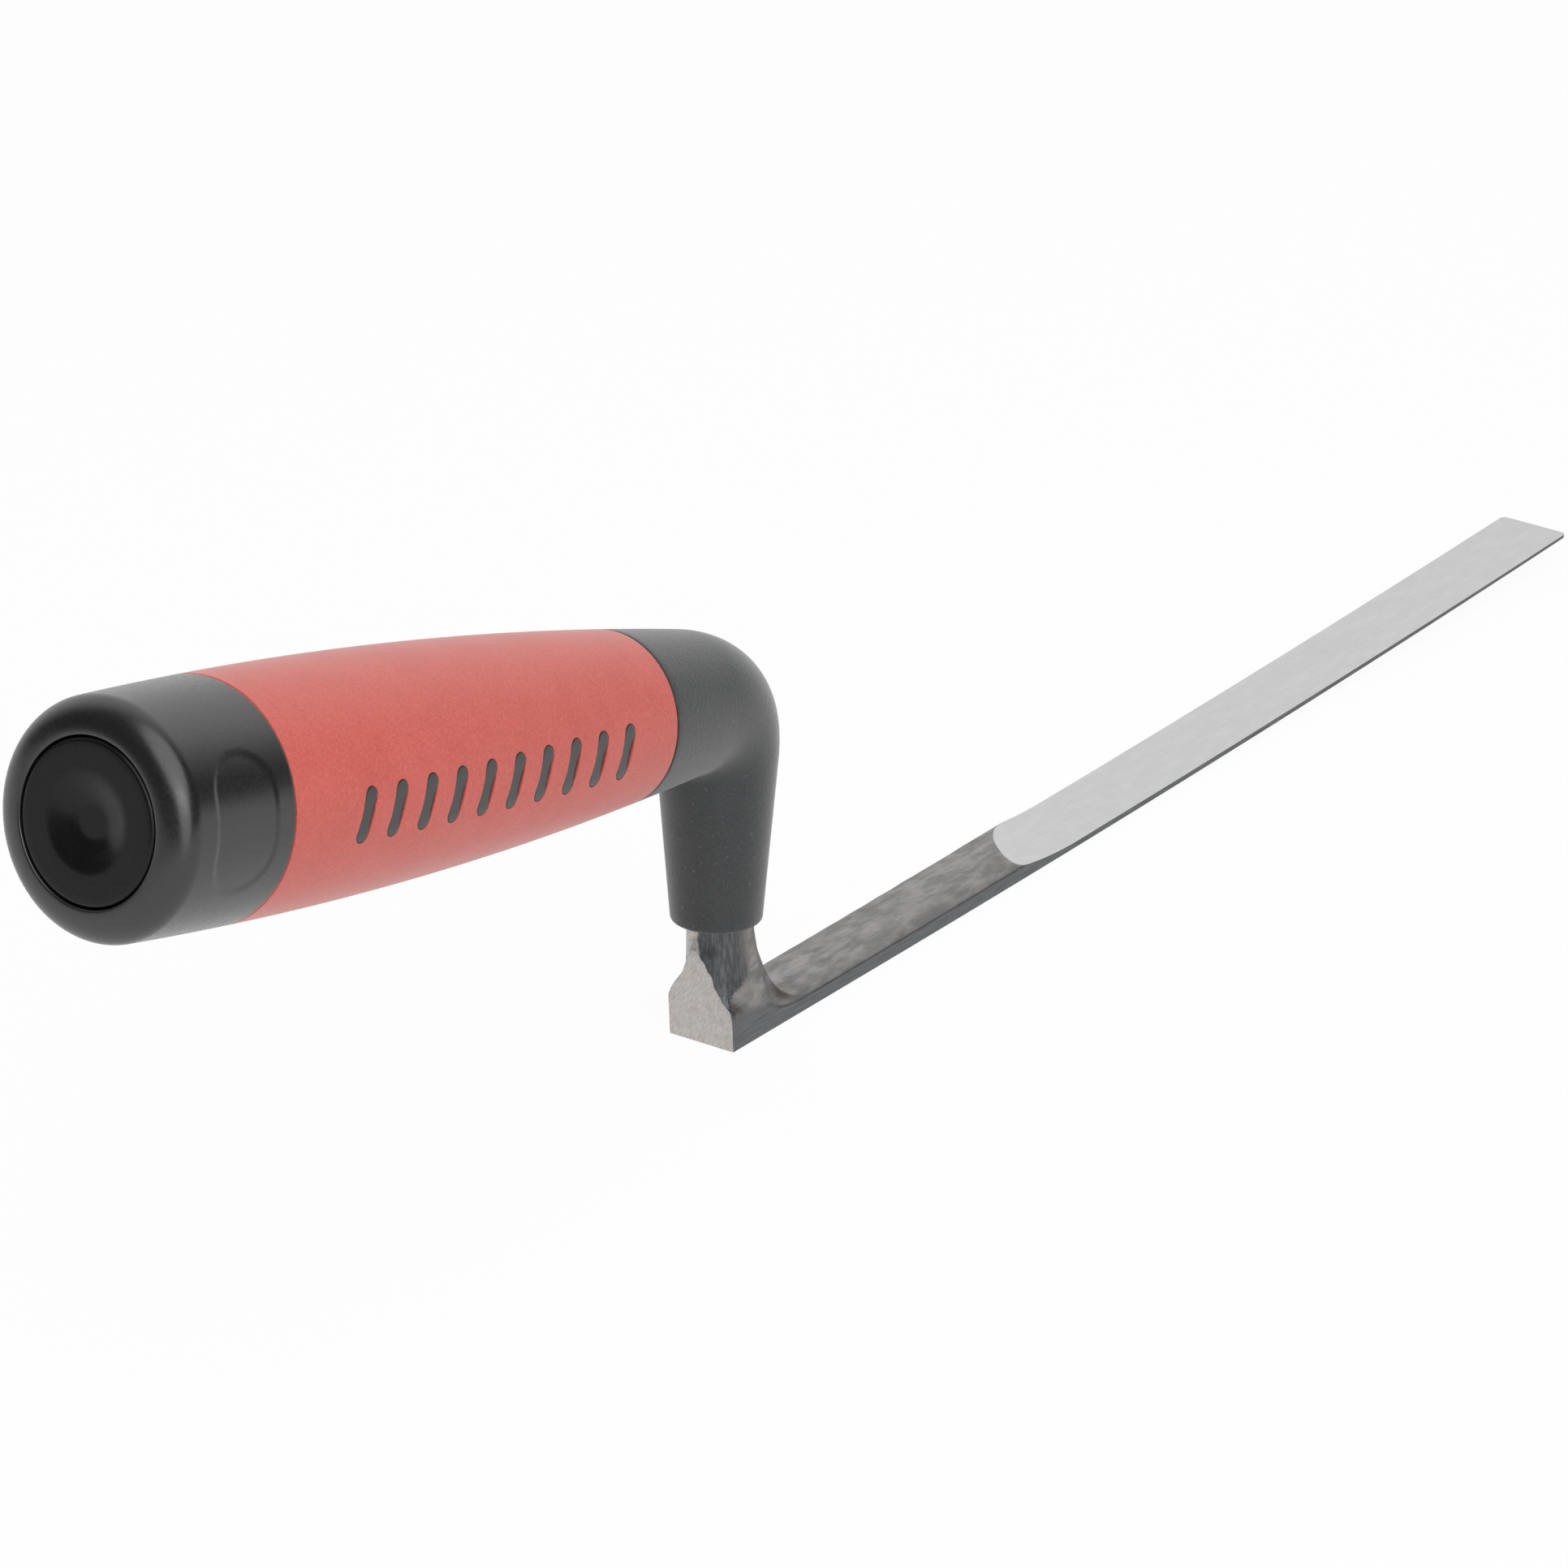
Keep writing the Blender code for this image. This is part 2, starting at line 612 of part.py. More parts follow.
def make_nut():
    rear = NUT_FRONT + NUT_HEIGHT
    form = bmesh.new()
    bmesh.ops.create_cone(form, cap_ends=True, segments=NUT_SIDES, radius1=NUT_RADIUS, radius2=NUT_RADIUS,
                          depth=NUT_HEIGHT)
    bmesh.ops.translate(form, verts=form.verts, vec=(0, 0, (NUT_FRONT + rear) / 2))
    mesh = bpy.data.meshes.new("tang_nut")
    form.to_mesh(mesh)
    form.free()
    nut = add_part("tang_nut", mesh, ZINC, HANDLE)
    rim = NUT_FLATS / 2
    beyond = NUT_HEIGHT
    profile = [(0, rear), (rim, rear), (NUT_RADIUS + GAP, rear - NUT_CHAMFER),
               (NUT_RADIUS + GAP, NUT_FRONT + NUT_CHAMFER), (rim, NUT_FRONT), (0, NUT_FRONT)]
    boolean(nut, turned_cutter("nut_chamfer", profile, False, HANDLE), "INTERSECT")
    bore = [(0, rear + beyond), (BORE_RADIUS, rear + beyond), (BORE_RADIUS, NUT_FRONT - beyond),
            (0, NUT_FRONT - beyond)]
    boolean(nut, turned_cutter("nut_bore", bore, False, HANDLE), "DIFFERENCE")


# Build

clear_scene()
PARTS = new_collection("tuck_pointer")
CUTTERS = new_collection("tuck_pointer_cutters")

STEEL = new_material("forged_steel", (0.52, 0.51, 0.50), 0.38, 1.0)
BOOT_BLACK = new_material("boot_black", (0.055, 0.06, 0.062), 0.62, 0.0)
CORE_BLACK = new_material("core_black", (0.035, 0.036, 0.037), 0.4, 0.0)
PLUG_BLACK = new_material("plug_black", (0.024, 0.024, 0.025), 0.45, 0.0)
RED = new_material("grip_red", (0.62, 0.13, 0.11), 0.6, 0.0)
ZINC = new_material("zinc_plate", (0.68, 0.68, 0.66), 0.32, 1.0)

HANDLE = bpy.data.objects.new("handle_axis", None)
HANDLE.location = ELBOW
HANDLE.rotation_euler = (0, HANDLE_TILT - math.pi / 2, 0)
PARTS.objects.link(HANDLE)

make_forging()
make_boot()
make_core()
make_sleeve()
make_plug()
make_washer()
make_nut()
bpy.context.view_layer.update()
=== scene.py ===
"""Looks of the tuck pointer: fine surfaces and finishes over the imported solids, a floor, light and camera.

Lengths are in millimetres in the part's own frame: the origin is on the sole where the shank's axis
meets it, +X runs along the blade to its tip, and +Z is up. Meshes are scaled to metres as they are made.
"""

import math

import bmesh
import bpy
from mathutils import Matrix, Vector, noise


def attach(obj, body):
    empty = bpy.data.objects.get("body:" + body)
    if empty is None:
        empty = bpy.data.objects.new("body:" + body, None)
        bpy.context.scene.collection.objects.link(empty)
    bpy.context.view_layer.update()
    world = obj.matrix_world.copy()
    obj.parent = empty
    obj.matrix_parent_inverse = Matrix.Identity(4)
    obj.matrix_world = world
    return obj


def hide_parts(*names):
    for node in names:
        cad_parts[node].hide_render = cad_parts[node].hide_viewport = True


MM = 0.001

# Main sizes; the heel, the grind and the collar follow the photo a little more closely than the solids
BLADE_LENGTH = 171.45
BLADE_WIDTH = 9.525
TIP_WIDTH = 9.8
HEEL_BACK = 3.1
HEEL_LENGTH = 13.5
HEEL_EDGE = 3.6
HEEL_CROWN = 2.0
FORGED_EDGE = 1.65
FORGED_CROWN = 0.65
CROWN_POWER = 2.2
SOLE_FLAT = 30.0
TIP_RISE = 2.8
TIP_THICKNESS = 0.5
TIP_CORNER = 0.7
GRIND_START = 58.2
GRIND_RUNOUT = 12.0
GROUND_THICKNESS = 1.05
SHANK_RADIUS = 4.0
SHANK_LEAN = math.radians(4.1)
TANG_BEND = 8.0
TANG_CHAMFER = 0.8
HANDLE_TILT = math.radians(13.75)
ELBOW_HEIGHT = 42.9
SEAM_FRONT = 21.35  # the sleeve's front end, behind the elbow
SLEEVE_LENGTH = 74.0
REAR_LENGTH = 19.1
BELLY_DIAMETER = 28.5
BELLY_SETBACK = 1.6
FRONT_DIAMETER = 20.7
COLLAR_HEIGHT = 14.95
COLLAR_WALL = 1.15
COLLAR_ROUNDING = 0.45
BORE_RADIUS = 4.3
NECK_SETBACK = 0.75
NECK_WALL = 3.55
CROTCH_FILLET = 0.8
ELBOW_ROUNDNESS = 0.64
SLEEVE_WALL = 2.2
NOSE_RADIUS = 6.0
NOSE_LENGTH = 6.0
REAR_ROUNDING = 3.2
REAR_LAND = 0.3
SLOT_COUNT = 10
SLOT_PITCH = 5.6
SLOT_LENGTH = 6.6
SLOT_WIDTH = 2.1
SLOT_SLANT = math.radians(12)
SLOT_OFFSET = -1.0
NUT_SEAT_DEPTH = 40.0
TANG_BEYOND_SEAT = 11.1
SOCKET_RADIUS = 8.406
PLUG_BORE_RADIUS = 9.746
PLUG_LENGTH = 9.0
PLUG_WALL = 1.5
PLUG_ROUNDING = 0.55

# Finer shapes that only the scene has
SEAM_GAP = 0.1  # half the width of a seam
SEAM_ROUNDING = 0.2
FIT_GAP = 0.04  # between a land and its slot, or the boot and the shank
SHANK_AHEAD = 0.3  # the bare shank stands this far ahead of the solids' axis
CROWN_LENGTH = 5.0  # the heel's squarer top passes into the blade's over this length
HEEL_POWER = 5.0
FOOT_HEIGHT_FRONT = 10.0  # height of the flare at the shank's foot
FOOT_HEIGHT_AHEAD_LEFT = 6.5
FOOT_HEIGHT_REAR = 8.0
FOOT_HEIGHT_LEFT = 3.8
FOOT_REACH_FRONT = 9.0
CORNER_ROOM = 2.15  # from the shank out to the heel's rear corners
FOOT_POWER = 2.0  # the flare's hollow, and its straighter form at the rear left corner
FOOT_POWER_FRONT = 3.6
FOOT_POWER_REAR = 4.0
CORNER_POWER = 1.25
FOOT_SPARE_SIDE = 1.35  # the flare's reach, as a share of the room out to the heel's edge
FOOT_SPARE_FRONT = 1.1
FOOT_SPARE_REAR = 1.07
LEAST_ROOM = 0.5
REAR_CHIPS = 0.14  # unevenness of the rear face's upper edge
REAR_CHIP_NOISE = 1.2  # noise features in a millimetre
GRIND_SKEW = 0.5  # the ground face starts nearer the heel on the right
GRIND_TILT = 0.05  # and is cut deeper there
RAY_ORIGIN = 0.45  # the heel's surface fans out from here
HEEL_FRONT = 19.0  # and joins the blade here
SHANK_TOP = 22.0
STRIP_TWIST = 0.466  # a pale strip runs on up the shank, turned to its left side
STRIP_START = 7.0
STRIP_FULL = 11.5
STRIP_EASE = 0.12
STRIP_WAVE = 0.1
STRIP_NOISE = 1.1
STRIP_BLUR = 0.14
SHADE_EDGE = (-2.4, 0.9)  # the shank's dark side ends here, at its foot and higher up
SHADE_RISE = (5.6, 9.2)
SHADE_BLUR = (0.15, 4.0)
SHADE_BLUR_RISE = (7.0, 13.0)
# Marks on the forging: a rust-brown patch darkened with painted shade in the hollow ahead of the shank's
# foot, and a dark spot behind the shank
STAIN_AND_SHADE_WAVE = 0.35
STAIN_AND_SHADE_NOISE = 0.6
STAINS_AND_SHADE = ((Vector((9.5, -2.2, 3.0)), Vector((6.0, 4.2, 2.8))),
          (Vector((-2.5, -1.5, 12.0)), Vector((1.6, 1.6, 1.3))))
SOLE_BEVEL = 0.12
FORGED_WAVE = 0.05  # unevenness of the forged surface
FORGED_WAVE_LENGTH = 2.4
WAVE_EASE = 0.3  # it fades this far before the ground face
LIP_ROUNDING = 0.25  # inner edge of the rear rim, round the plug
LAND_ROUNDING = 0.16  # edge of the core's lands in the slots
LAND_SKIRT = 0.3  # how far the lands reach into the core
LAND_SHARES = (0.62, 0.4, 0.2, 0.02)
PLUG_GROOVE = 0.18
DISH_RADIUS = 6.0
DISH_FLOOR_RADIUS = 1.8
DISH_DEPTH = 1.1
SCUFF_LENGTH = 14.0  # of the sleeve's front, where it is scuffed
PAD_DEPTH = 0.12  # shallow bare pad on the rear end
PAD_MIDDLE = 8.2  # its middle behind the sleeve's rear seam
PAD_LENGTH = 10.5
PAD_WIDTH = 17.0
PAD_EDGE = 0.5
PAD_TURN = math.radians(83)  # round the handle from its top, to the right side

# Where round the shank the flare changes: shares of the way from rear to front, and sines to the left
FOOT_REAR = (0.42, 0.22)
FOOT_SPARE_AHEAD = (0.82, 0.94)
FOOT_HEIGHT_AHEAD = (0.25, 0.9)
FOOT_POWER_AHEAD = (0.8, 0.95)
FOOT_LEFT = (-0.35, 0.35)
FOOT_REAR_LEFT = (0.3, 0.75)
FOOT_AHEAD_LEFT = (0.0, 0.6)

# The forging's finishes, in the order of its material slots, and the values that they read at each point
TOP_FINISH, BAND_FINISH, REAR_FINISH = range(3)
SKIN_VALUES = ("ground", "crease", "shade", "strip", "stain")
MARKS_TURN = (math.radians(35), 0, 0)  # slant of the heel's grinding marks
MIDDLE = (0.3, 0.7)  # most of a noise's values
MIX_SOCKETS = {"FLOAT": (2, 0), "VECTOR": (4, 1), "RGBA": (6, 2)}  # a mix node's first value and output

# Resolution of the fine surfaces
FRONT_RAYS = 32
SIDE_RAYS = 44
REAR_RAYS = 60
RAY_SAMPLES = 120
RAY_RINGS = 88
WALL_ROWS = 10
BLADE_STEP = 0.6
TANG_STEP = 0.5
TURN_STEPS = 192
RING_POINTS = 128
EDGE_STEPS = 5
FIT_ROUNDS = 6
SHARP_ANGLE = math.radians(32)
SURFACE_TOLERANCE = 0.01
FACING = 0.9  # least cosine between a face of the barrel and the barrel's normal

# Sizes that follow
TIP_X = BLADE_LENGTH - HEEL_BACK
FLAT_END = SOLE_FLAT - HEEL_BACK
RUNOUT_END = GRIND_START - HEEL_BACK + GRIND_RUNOUT
SEAM_REAR = SEAM_FRONT + SLEEVE_LENGTH
HANDLE_END = SEAM_REAR + REAR_LENGTH
SEAT = HANDLE_END - NUT_SEAT_DEPTH
TANG_END = SEAT + TANG_BEYOND_SEAT
BELLY = SEAM_REAR - BELLY_SETBACK
BELLY_DROP = (BELLY_DIAMETER - FRONT_DIAMETER) / 2
BARREL_RADIUS = ((BELLY - SEAM_FRONT) ** 2 + BELLY_DROP ** 2) / (2 * BELLY_DROP)

UP_SHANK = Vector((math.sin(SHANK_LEAN), 0, math.cos(SHANK_LEAN)))
BEFORE_SHANK = Vector((math.cos(SHANK_LEAN), 0, -math.sin(SHANK_LEAN)))
ALONG_HANDLE = Vector((-math.cos(HANDLE_TILT), 0, math.sin(HANDLE_TILT)))
ABOVE_HANDLE = Vector((math.sin(HANDLE_TILT), 0, math.cos(HANDLE_TILT)))
SIDE = Vector((0, 1, 0))
ELBOW = UP_SHANK * ELBOW_HEIGHT
TURN = math.pi / 2 - (HANDLE_TILT - SHANK_LEAN)

# Camera fitted to the photo, and its image
IMAGE_SIZE = 1932
FOCAL_PIXELS = 16000
CAMERA_PLACE = Vector((-1067.45, -871.36, 673.77))
CAMERA_YAW = 0.678094
CAMERA_PITCH = 0.435782
CAMERA_ROLL = -0.039473
SENSOR = 36
CLIP_END = 100  # in metres

# Studio: a world that brightens towards one side, a pale floor and two soft lamps
BRIGHT_SIDE = Vector((0.70, 0.57, 0.43))
BRIGHT_RANGE = (0.3, 0.85)
DARK_LEVEL = 0.07
BRIGHT_LEVEL = 1.15
FLOOR_DROP = 0.05
FLOOR_HALF = 20000
FLOOR_GREY = 0.84
FLOOR_WHITE = 0.95
LAMP_TARGET = Vector((0, 0, 30))
LAMPS = (("key", Vector((-400, -510, 960)), 1500, 10.6),  # name, place, width and watts
         ("front", Vector((-700, -890, 420)), 900, 3.4))


# Curves that the pieces share

def lerp(start, end, share):
    return start + (end - start) * share


def spread(start, end, count):
    """Evenly spaced values from start to end, with both ends."""
    return [lerp(start, end, index / count) for index in range(count + 1)]


def rise(share):
    """Smooth step from 0 to 1."""
    share = min(max(share, 0), 1)
    return share * share * (3 - 2 * share)


def fade(share):
    return 1 - rise(share)


def ramp(value, low, high):
    """Smooth step from 0 at the low value to 1 at the high one, which may be the smaller."""
    return rise((value - low) / (high - low))


def round_angles(count):
    return [2 * math.pi * index / count for index in range(count)]


def on_shank(height):
    return UP_SHANK * height + Vector((SHANK_AHEAD, 0, 0))


def on_neck(height):
    return on_shank(height) - BEFORE_SHANK * NECK_SETBACK


def on_handle(distance):
    return ELBOW + ALONG_HANDLE * distance


def barrel(distance):
    """Outer radius of the handle at a distance behind the elbow."""
    return BELLY_DIAMETER / 2 - BARREL_RADIUS + math.sqrt(BARREL_RADIUS ** 2 - (distance - BELLY) ** 2)


def neck(height):
    """Outer radius of the neck at a height along the shank."""
    share = (height - COLLAR_HEIGHT) / (ELBOW_HEIGHT - COLLAR_HEIGHT)
    return BORE_RADIUS + COLLAR_WALL + (NECK_WALL - COLLAR_WALL) * share


def tang_route(lowest, farthest, steps=24):
    """Points up the shank, round the bend and along the handle, each with its outward direction."""
    tangent = TANG_BEND * math.tan(TURN / 2)
    straight_end = ELBOW_HEIGHT - tangent
    centre = on_shank(straight_end) - BEFORE_SHANK * TANG_BEND
    route = [(on_shank(height), BEFORE_SHANK) for height in spread(lowest, straight_end, steps)]
    for angle in spread(0, TURN, steps)[1:]:
        outward = BEFORE_SHANK * math.cos(angle) + UP_SHANK * math.sin(angle)
        route.append((centre + outward * TANG_BEND, outward))
    route += [(on_handle(distance), ABOVE_HANDLE) for distance in spread(tangent, farthest, steps)[1:]]
    return route


def ring_round(centre, outward, radius, count):
    return [centre + (outward * math.cos(angle) + SIDE * math.sin(angle)) * radius
            for angle in round_angles(count)]


def arc(centre, radius, start, end, count):
    """Points of a circular arc in a turned profile, with angles in degrees from the radius."""
    angles = [math.radians(angle) for angle in spread(start, end, count)]
    return [(centre[0] + radius * math.cos(a), centre[1] + radius * math.sin(a)) for a in angles]


# Meshes and pieces

def ring_faces(near, far, closed=True):
    """Quads between two rows of vertex numbers."""
    first = 0 if closed else 1
    return [(near[i - 1], near[i], far[i], far[i - 1]) for i in range(first, len(near))]


def rows_and_faces(size, count):
    """Rows of point numbers for rings of a size, and the quads between them."""
    rows = [list(range(index * size, (index + 1) * size)) for index in range(count)]
    return rows, [face for near, far in zip(rows, rows[1:]) for face in ring_faces(near, far)]


def joined(parts):
    """Points and faces of several parts as one mesh."""
    points, faces = [], []
    for part_points, part_faces in parts:
        start = len(points)
        points += part_points
        faces += [tuple(start + index for index in face) for face in part_faces]
    return points, faces


def new_object(name, data):
    thing = bpy.data.objects.new(name, data)
    bpy.context.scene.collection.objects.link(thing)
    return thing


def new_mesh(name, points, faces):
    """A closed mesh with outward faces, smooth but for its sharp edges."""
    mesh = bpy.data.meshes.new(name)
    mesh.from_pydata([point * MM for point in points], [], faces)
    form = bmesh.new()
    form.from_mesh(mesh)
    bmesh.ops.recalc_face_normals(form, faces=form.faces)
    form.to_mesh(mesh)
    form.free()
    mesh.shade_smooth()
    mesh.set_sharp_from_angle(angle=SHARP_ANGLE)
    return mesh


def add_piece(name, mesh, node, materials):
    piece = new_object(name, mesh)
    for material in materials:
        mesh.materials.append(material)
    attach(piece, "root")
    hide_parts(node)
    return piece


def loft(rings, closed_loop=False):
    """Points and faces through rings of equally many points, capped unless the rings close on themselves."""
    points = [point for ring in rings for point in ring]
    rows, faces = rows_and_faces(len(rings[0]), len(rings))
    if closed_loop:
        return points, faces + ring_faces(rows[-1], rows[0])
    return points, faces + [tuple(rows[0]), tuple(rows[-1])]


def turned(profile, closed=False, shift=None):
    """Points and faces of a profile of (radius, distance) turned about the handle's axis.

    An open profile starts and ends on the axis. The shift gives each point's change of radius.
    """
    inner = profile if closed else profile[1:-1]
    points = []
    for radius, distance in inner:
        for angle in round_angles(TURN_STEPS):
            outward = ABOVE_HANDLE * math.cos(angle) + SIDE * math.sin(angle)
            change = shift(radius, distance, angle) if shift else 0
            points.append(on_handle(distance) + outward * (radius + change))
    rows, faces = rows_and_faces(TURN_STEPS, len(inner))
    if closed:
        return points, faces + ring_faces(rows[-1], rows[0])
    for row, (_, distance) in ((rows[0], profile[0]), (rows[-1], profile[-1])):
        pole = len(points)
        points.append(on_handle(distance))
        faces += [(row[i - 1], row[i], pole) for i in range(TURN_STEPS)]
    return points, faces


# Materials

class Nodes:
    """Short ways to add nodes to a tree and to link them."""

    def __init__(self, tree):
        self.tree = tree

    def add(self, kind, **settings):
        node = self.tree.nodes.new(kind)
        for key, value in settings.items():
            setattr(node, key, value)
        return node

    def feed(self, socket, value):
        """Link an output to a socket, or set the socket's own value."""
        if isinstance(value, bpy.types.NodeSocket):
            self.tree.links.new(value, socket)
        else:
            socket.default_value = (*value, 1) if isinstance(value, tuple) and len(value) == 3 else value

    def band(self, value, low, high, to_low=0.0, to_high=1.0):
        """Smooth step of a value from low to high."""
        node = self.add("ShaderNodeMapRange", interpolation_type="SMOOTHSTEP")
        for name, number in (("From Min", low), ("From Max", high), ("To Min", to_low), ("To Max", to_high)):
            node.inputs[name].default_value = number
        self.feed(node.inputs["Value"], value)
        return node.outputs["Result"]

    def math(self, operation, first, second=0.0):
        node = self.add("ShaderNodeMath", operation=operation)
        self.feed(node.inputs[0], first)
        self.feed(node.inputs[1], second)
        return node.outputs[0]


class Finish(Nodes):
    """A Principled material and the nodes that feed it."""

    def __init__(self, name, metallic=0.0):
        self.material = bpy.data.materials.new(name)
        self.material.use_nodes = True
        super().__init__(self.material.node_tree)
        self.shader = self.tree.nodes["Principled BSDF"]
        self.shader.inputs["Metallic"].default_value = metallic
        self.place = self.add("ShaderNodeTexCoord").outputs["Object"]

    def set(self, name, value):
        self.feed(self.shader.inputs[name], value)

    def grain(self, size, detail=2.0, roughness=0.5, turn=(0, 0, 0)):
        """Noise from 0 to 1 with features of a size in millimetres, or of three sizes, after a turn."""
        sizes = size if isinstance(size, tuple) else (size, size, size)
        place = self.add("ShaderNodeMapping", vector_type="TEXTURE")
        place.inputs["Rotation"].default_value = turn
        place.inputs["Scale"].default_value = [length * MM for length in sizes]
        self.feed(place.inputs["Vector"], self.place)
        node = self.add("ShaderNodeTexNoise")
        node.inputs["Scale"].default_value = 1
        node.inputs["Detail"].default_value = detail
        node.inputs["Roughness"].default_value = roughness
        self.feed(node.inputs["Vector"], place.outputs["Vector"])
        return node.outputs["Fac"]

    def mix(self, share, first, second, kind="RGBA"):
        """Blend of two colours, or of two numbers or vectors."""
        node = self.add("ShaderNodeMix", data_type=kind)
        first_input, output = MIX_SOCKETS[kind]
        self.feed(node.inputs[0], share)
        self.feed(node.inputs[first_input], first)
        self.feed(node.inputs[first_input + 1], second)
        return node.outputs[output]

    def along_handle(self):
        """Distance behind the elbow along the handle, in metres."""
        node = self.add("ShaderNodeVectorMath", operation="DOT_PRODUCT")
        self.feed(node.inputs[0], self.place)
        node.inputs[1].default_value = ALONG_HANDLE
        return self.math("SUBTRACT", node.outputs["Value"], ELBOW.dot(ALONG_HANDLE) * MM)

    def attribute(self, name):
        return self.add("ShaderNodeAttribute", attribute_name=name).outputs["Fac"]

    def bump(self, height, depth, under=None):
        """Bump of a height from 0 to 1, its depth in millimetres."""
        node = self.add("ShaderNodeBump")
        node.inputs["Distance"].default_value = depth * MM
        self.feed(node.inputs["Height"], height)
        if under is not None:
            self.feed(node.inputs["Normal"], under)
        return node.outputs["Normal"]


def red_finish():
    """Matte soft-touch red with a fine grain, faint mottling and a few pale scuffs near the front."""
    red = Finish("grip_red")
    grain = red.grain(0.34, detail=3, roughness=0.6)
    mottle = red.grain(5.0, detail=4, roughness=0.6)
    base = red.mix(red.band(mottle, *MIDDLE), (0.575, 0.092, 0.069), (0.61, 0.105, 0.081))
    base = red.mix(red.band(grain, 0.45, 0.75, 0.0, 0.5), base, (0.70, 0.185, 0.155))
    base = red.mix(red.band(grain, 0.25, 0.5, 0.4, 0.0), base, (0.44, 0.062, 0.046))
    scratches = red.grain((0.5, 0.5, 2.2), detail=3, turn=(0, HANDLE_TILT, 0))
    near_front = red.band(red.along_handle(), SEAM_FRONT * MM, (SEAM_FRONT + SCUFF_LENGTH) * MM, 1.0, 0.12)
    scuffs = red.math("MULTIPLY", red.band(scratches, 0.64, 0.76, 0.0, 0.3), near_front)
    base = red.mix(scuffs, base, (0.82, 0.34, 0.30))
    red.set("Base Color", base)
    red.set("Roughness", red.band(grain, 0.2, 0.8, 0.5, 0.62))
    red.set("Sheen Weight", 0.42)
    red.set("Sheen Roughness", 0.4)
    red.set("Normal", red.bump(grain, 0.035, red.bump(red.grain(1.6, detail=2), 0.03)))
    return red.material


def boot_finish():
    """Fine-textured matte black with tiny pale specks."""
    boot = Finish("boot_black")
    grain = boot.grain(0.34, detail=3, roughness=0.65)
    base = boot.mix(boot.grain(3.5, detail=3), (0.020, 0.0217, 0.0233), (0.029, 0.031, 0.033))
    base = boot.mix(boot.band(grain, 0.4, 0.75, 0.0, 0.7), base, (0.05, 0.053, 0.055))
    specks = boot.band(boot.grain(0.5, detail=1), 0.70, 0.78, 0.0, 0.5)
    boot.set("Base Color", boot.mix(specks, base, (0.16, 0.165, 0.17)))
    boot.set("Roughness", boot.band(grain, 0.2, 0.8, 0.38, 0.52))
    boot.set("Sheen Weight", 0.44)
    boot.set("Sheen Roughness", 0.4)
    boot.set("Normal", boot.bump(grain, 0.07))
    return boot.material


def satin_finish(name, dark, pale, roughness, specular=0.5):
    """Smooth moulded black with a soft sheen."""
    satin = Finish(name)
    satin.set("Specular IOR Level", specular)
    satin.set("Base Color", satin.mix(satin.grain(4.0, detail=4), dark, pale))
    grain = satin.grain(0.5, detail=4, roughness=0.6)
    satin.set("Roughness", satin.band(grain, 0.25, 0.75, roughness - 0.04, roughness + 0.05))
    satin.set("Normal", satin.bump(satin.grain(0.25, detail=2), 0.003))
    return satin.material


def forged_colour(steel, mottle):
    """Mottled grey with pale streaks, rust-brown darkened with painted shade in the hollow ahead of the
    shank, and painted shade along the side's upper edge.
    """
    streaks = steel.grain((6.0, 0.45, 0.6), detail=3, roughness=0.6)
    colour = steel.mix(steel.band(mottle, 0.3, 0.72), (0.205, 0.199, 0.193), (0.34, 0.32, 0.309))
    colour = steel.mix(steel.band(streaks, 0.55, 0.78, 0.0, 0.5), colour, (0.42, 0.405, 0.395))
    brown = steel.mix(steel.band(mottle, 0.35, 0.65), (0.115, 0.098, 0.085), (0.20, 0.178, 0.162))
    # rust-brown, with painted shade, in the hollow ahead of the shank's foot
    colour = steel.mix(steel.math("MULTIPLY", steel.attribute("stain"), 0.85), colour, brown)
    # painted shade: darker just above the side's upper edge, where the forged top meets the ground side
    return steel.mix(steel.band(steel.attribute("crease"), 0.1, 1.0, 0.5, 0.0), colour, (0.10, 0.105, 0.11))


def shank_colour(steel):
    """Dark grey with runs down the shank, darker at the marked spot, and bright specks at its foot that are
    painted glints.
    """
    runs = steel.grain((0.35, 0.35, 2.6), detail=3, roughness=0.6)
    colour = steel.mix(steel.band(runs, 0.35, 0.7), (0.085, 0.09, 0.097), (0.15, 0.155, 0.16))
    # darker at the spot behind the shank; the same mask carries the painted shade of the hollow ahead
    colour = steel.mix(steel.math("MULTIPLY", steel.attribute("stain"), 0.8), colour, (0.045, 0.046, 0.048))
    # painted glints: bright specks low on the shank's dark side
    low = steel.band(steel.attribute("crease"), 2.4, 4.2, 1.0, 0.0)
    specks = steel.math("MULTIPLY", steel.band(steel.grain(0.26, detail=2), 0.6, 0.7), low)
    return steel.mix(specks, colour, (0.36, 0.365, 0.37))


def strip_colour(steel):
    marks = steel.grain((0.9, 0.14, 1.4), detail=4, roughness=0.6, turn=MARKS_TURN)
    return steel.mix(steel.band(marks, *MIDDLE), (0.40, 0.377, 0.36), (0.60, 0.572, 0.55))


def ground_colour(steel, scratches):
    clouds = steel.grain((4.0, 1.4, 1.4), detail=5, roughness=0.65)
    colour = steel.mix(steel.band(scratches, *MIDDLE), (0.55, 0.545, 0.545), (0.63, 0.625, 0.625))
    return steel.mix(steel.band(clouds, 0.4, 0.7, 0.0, 0.5), colour, (0.66, 0.65, 0.655))


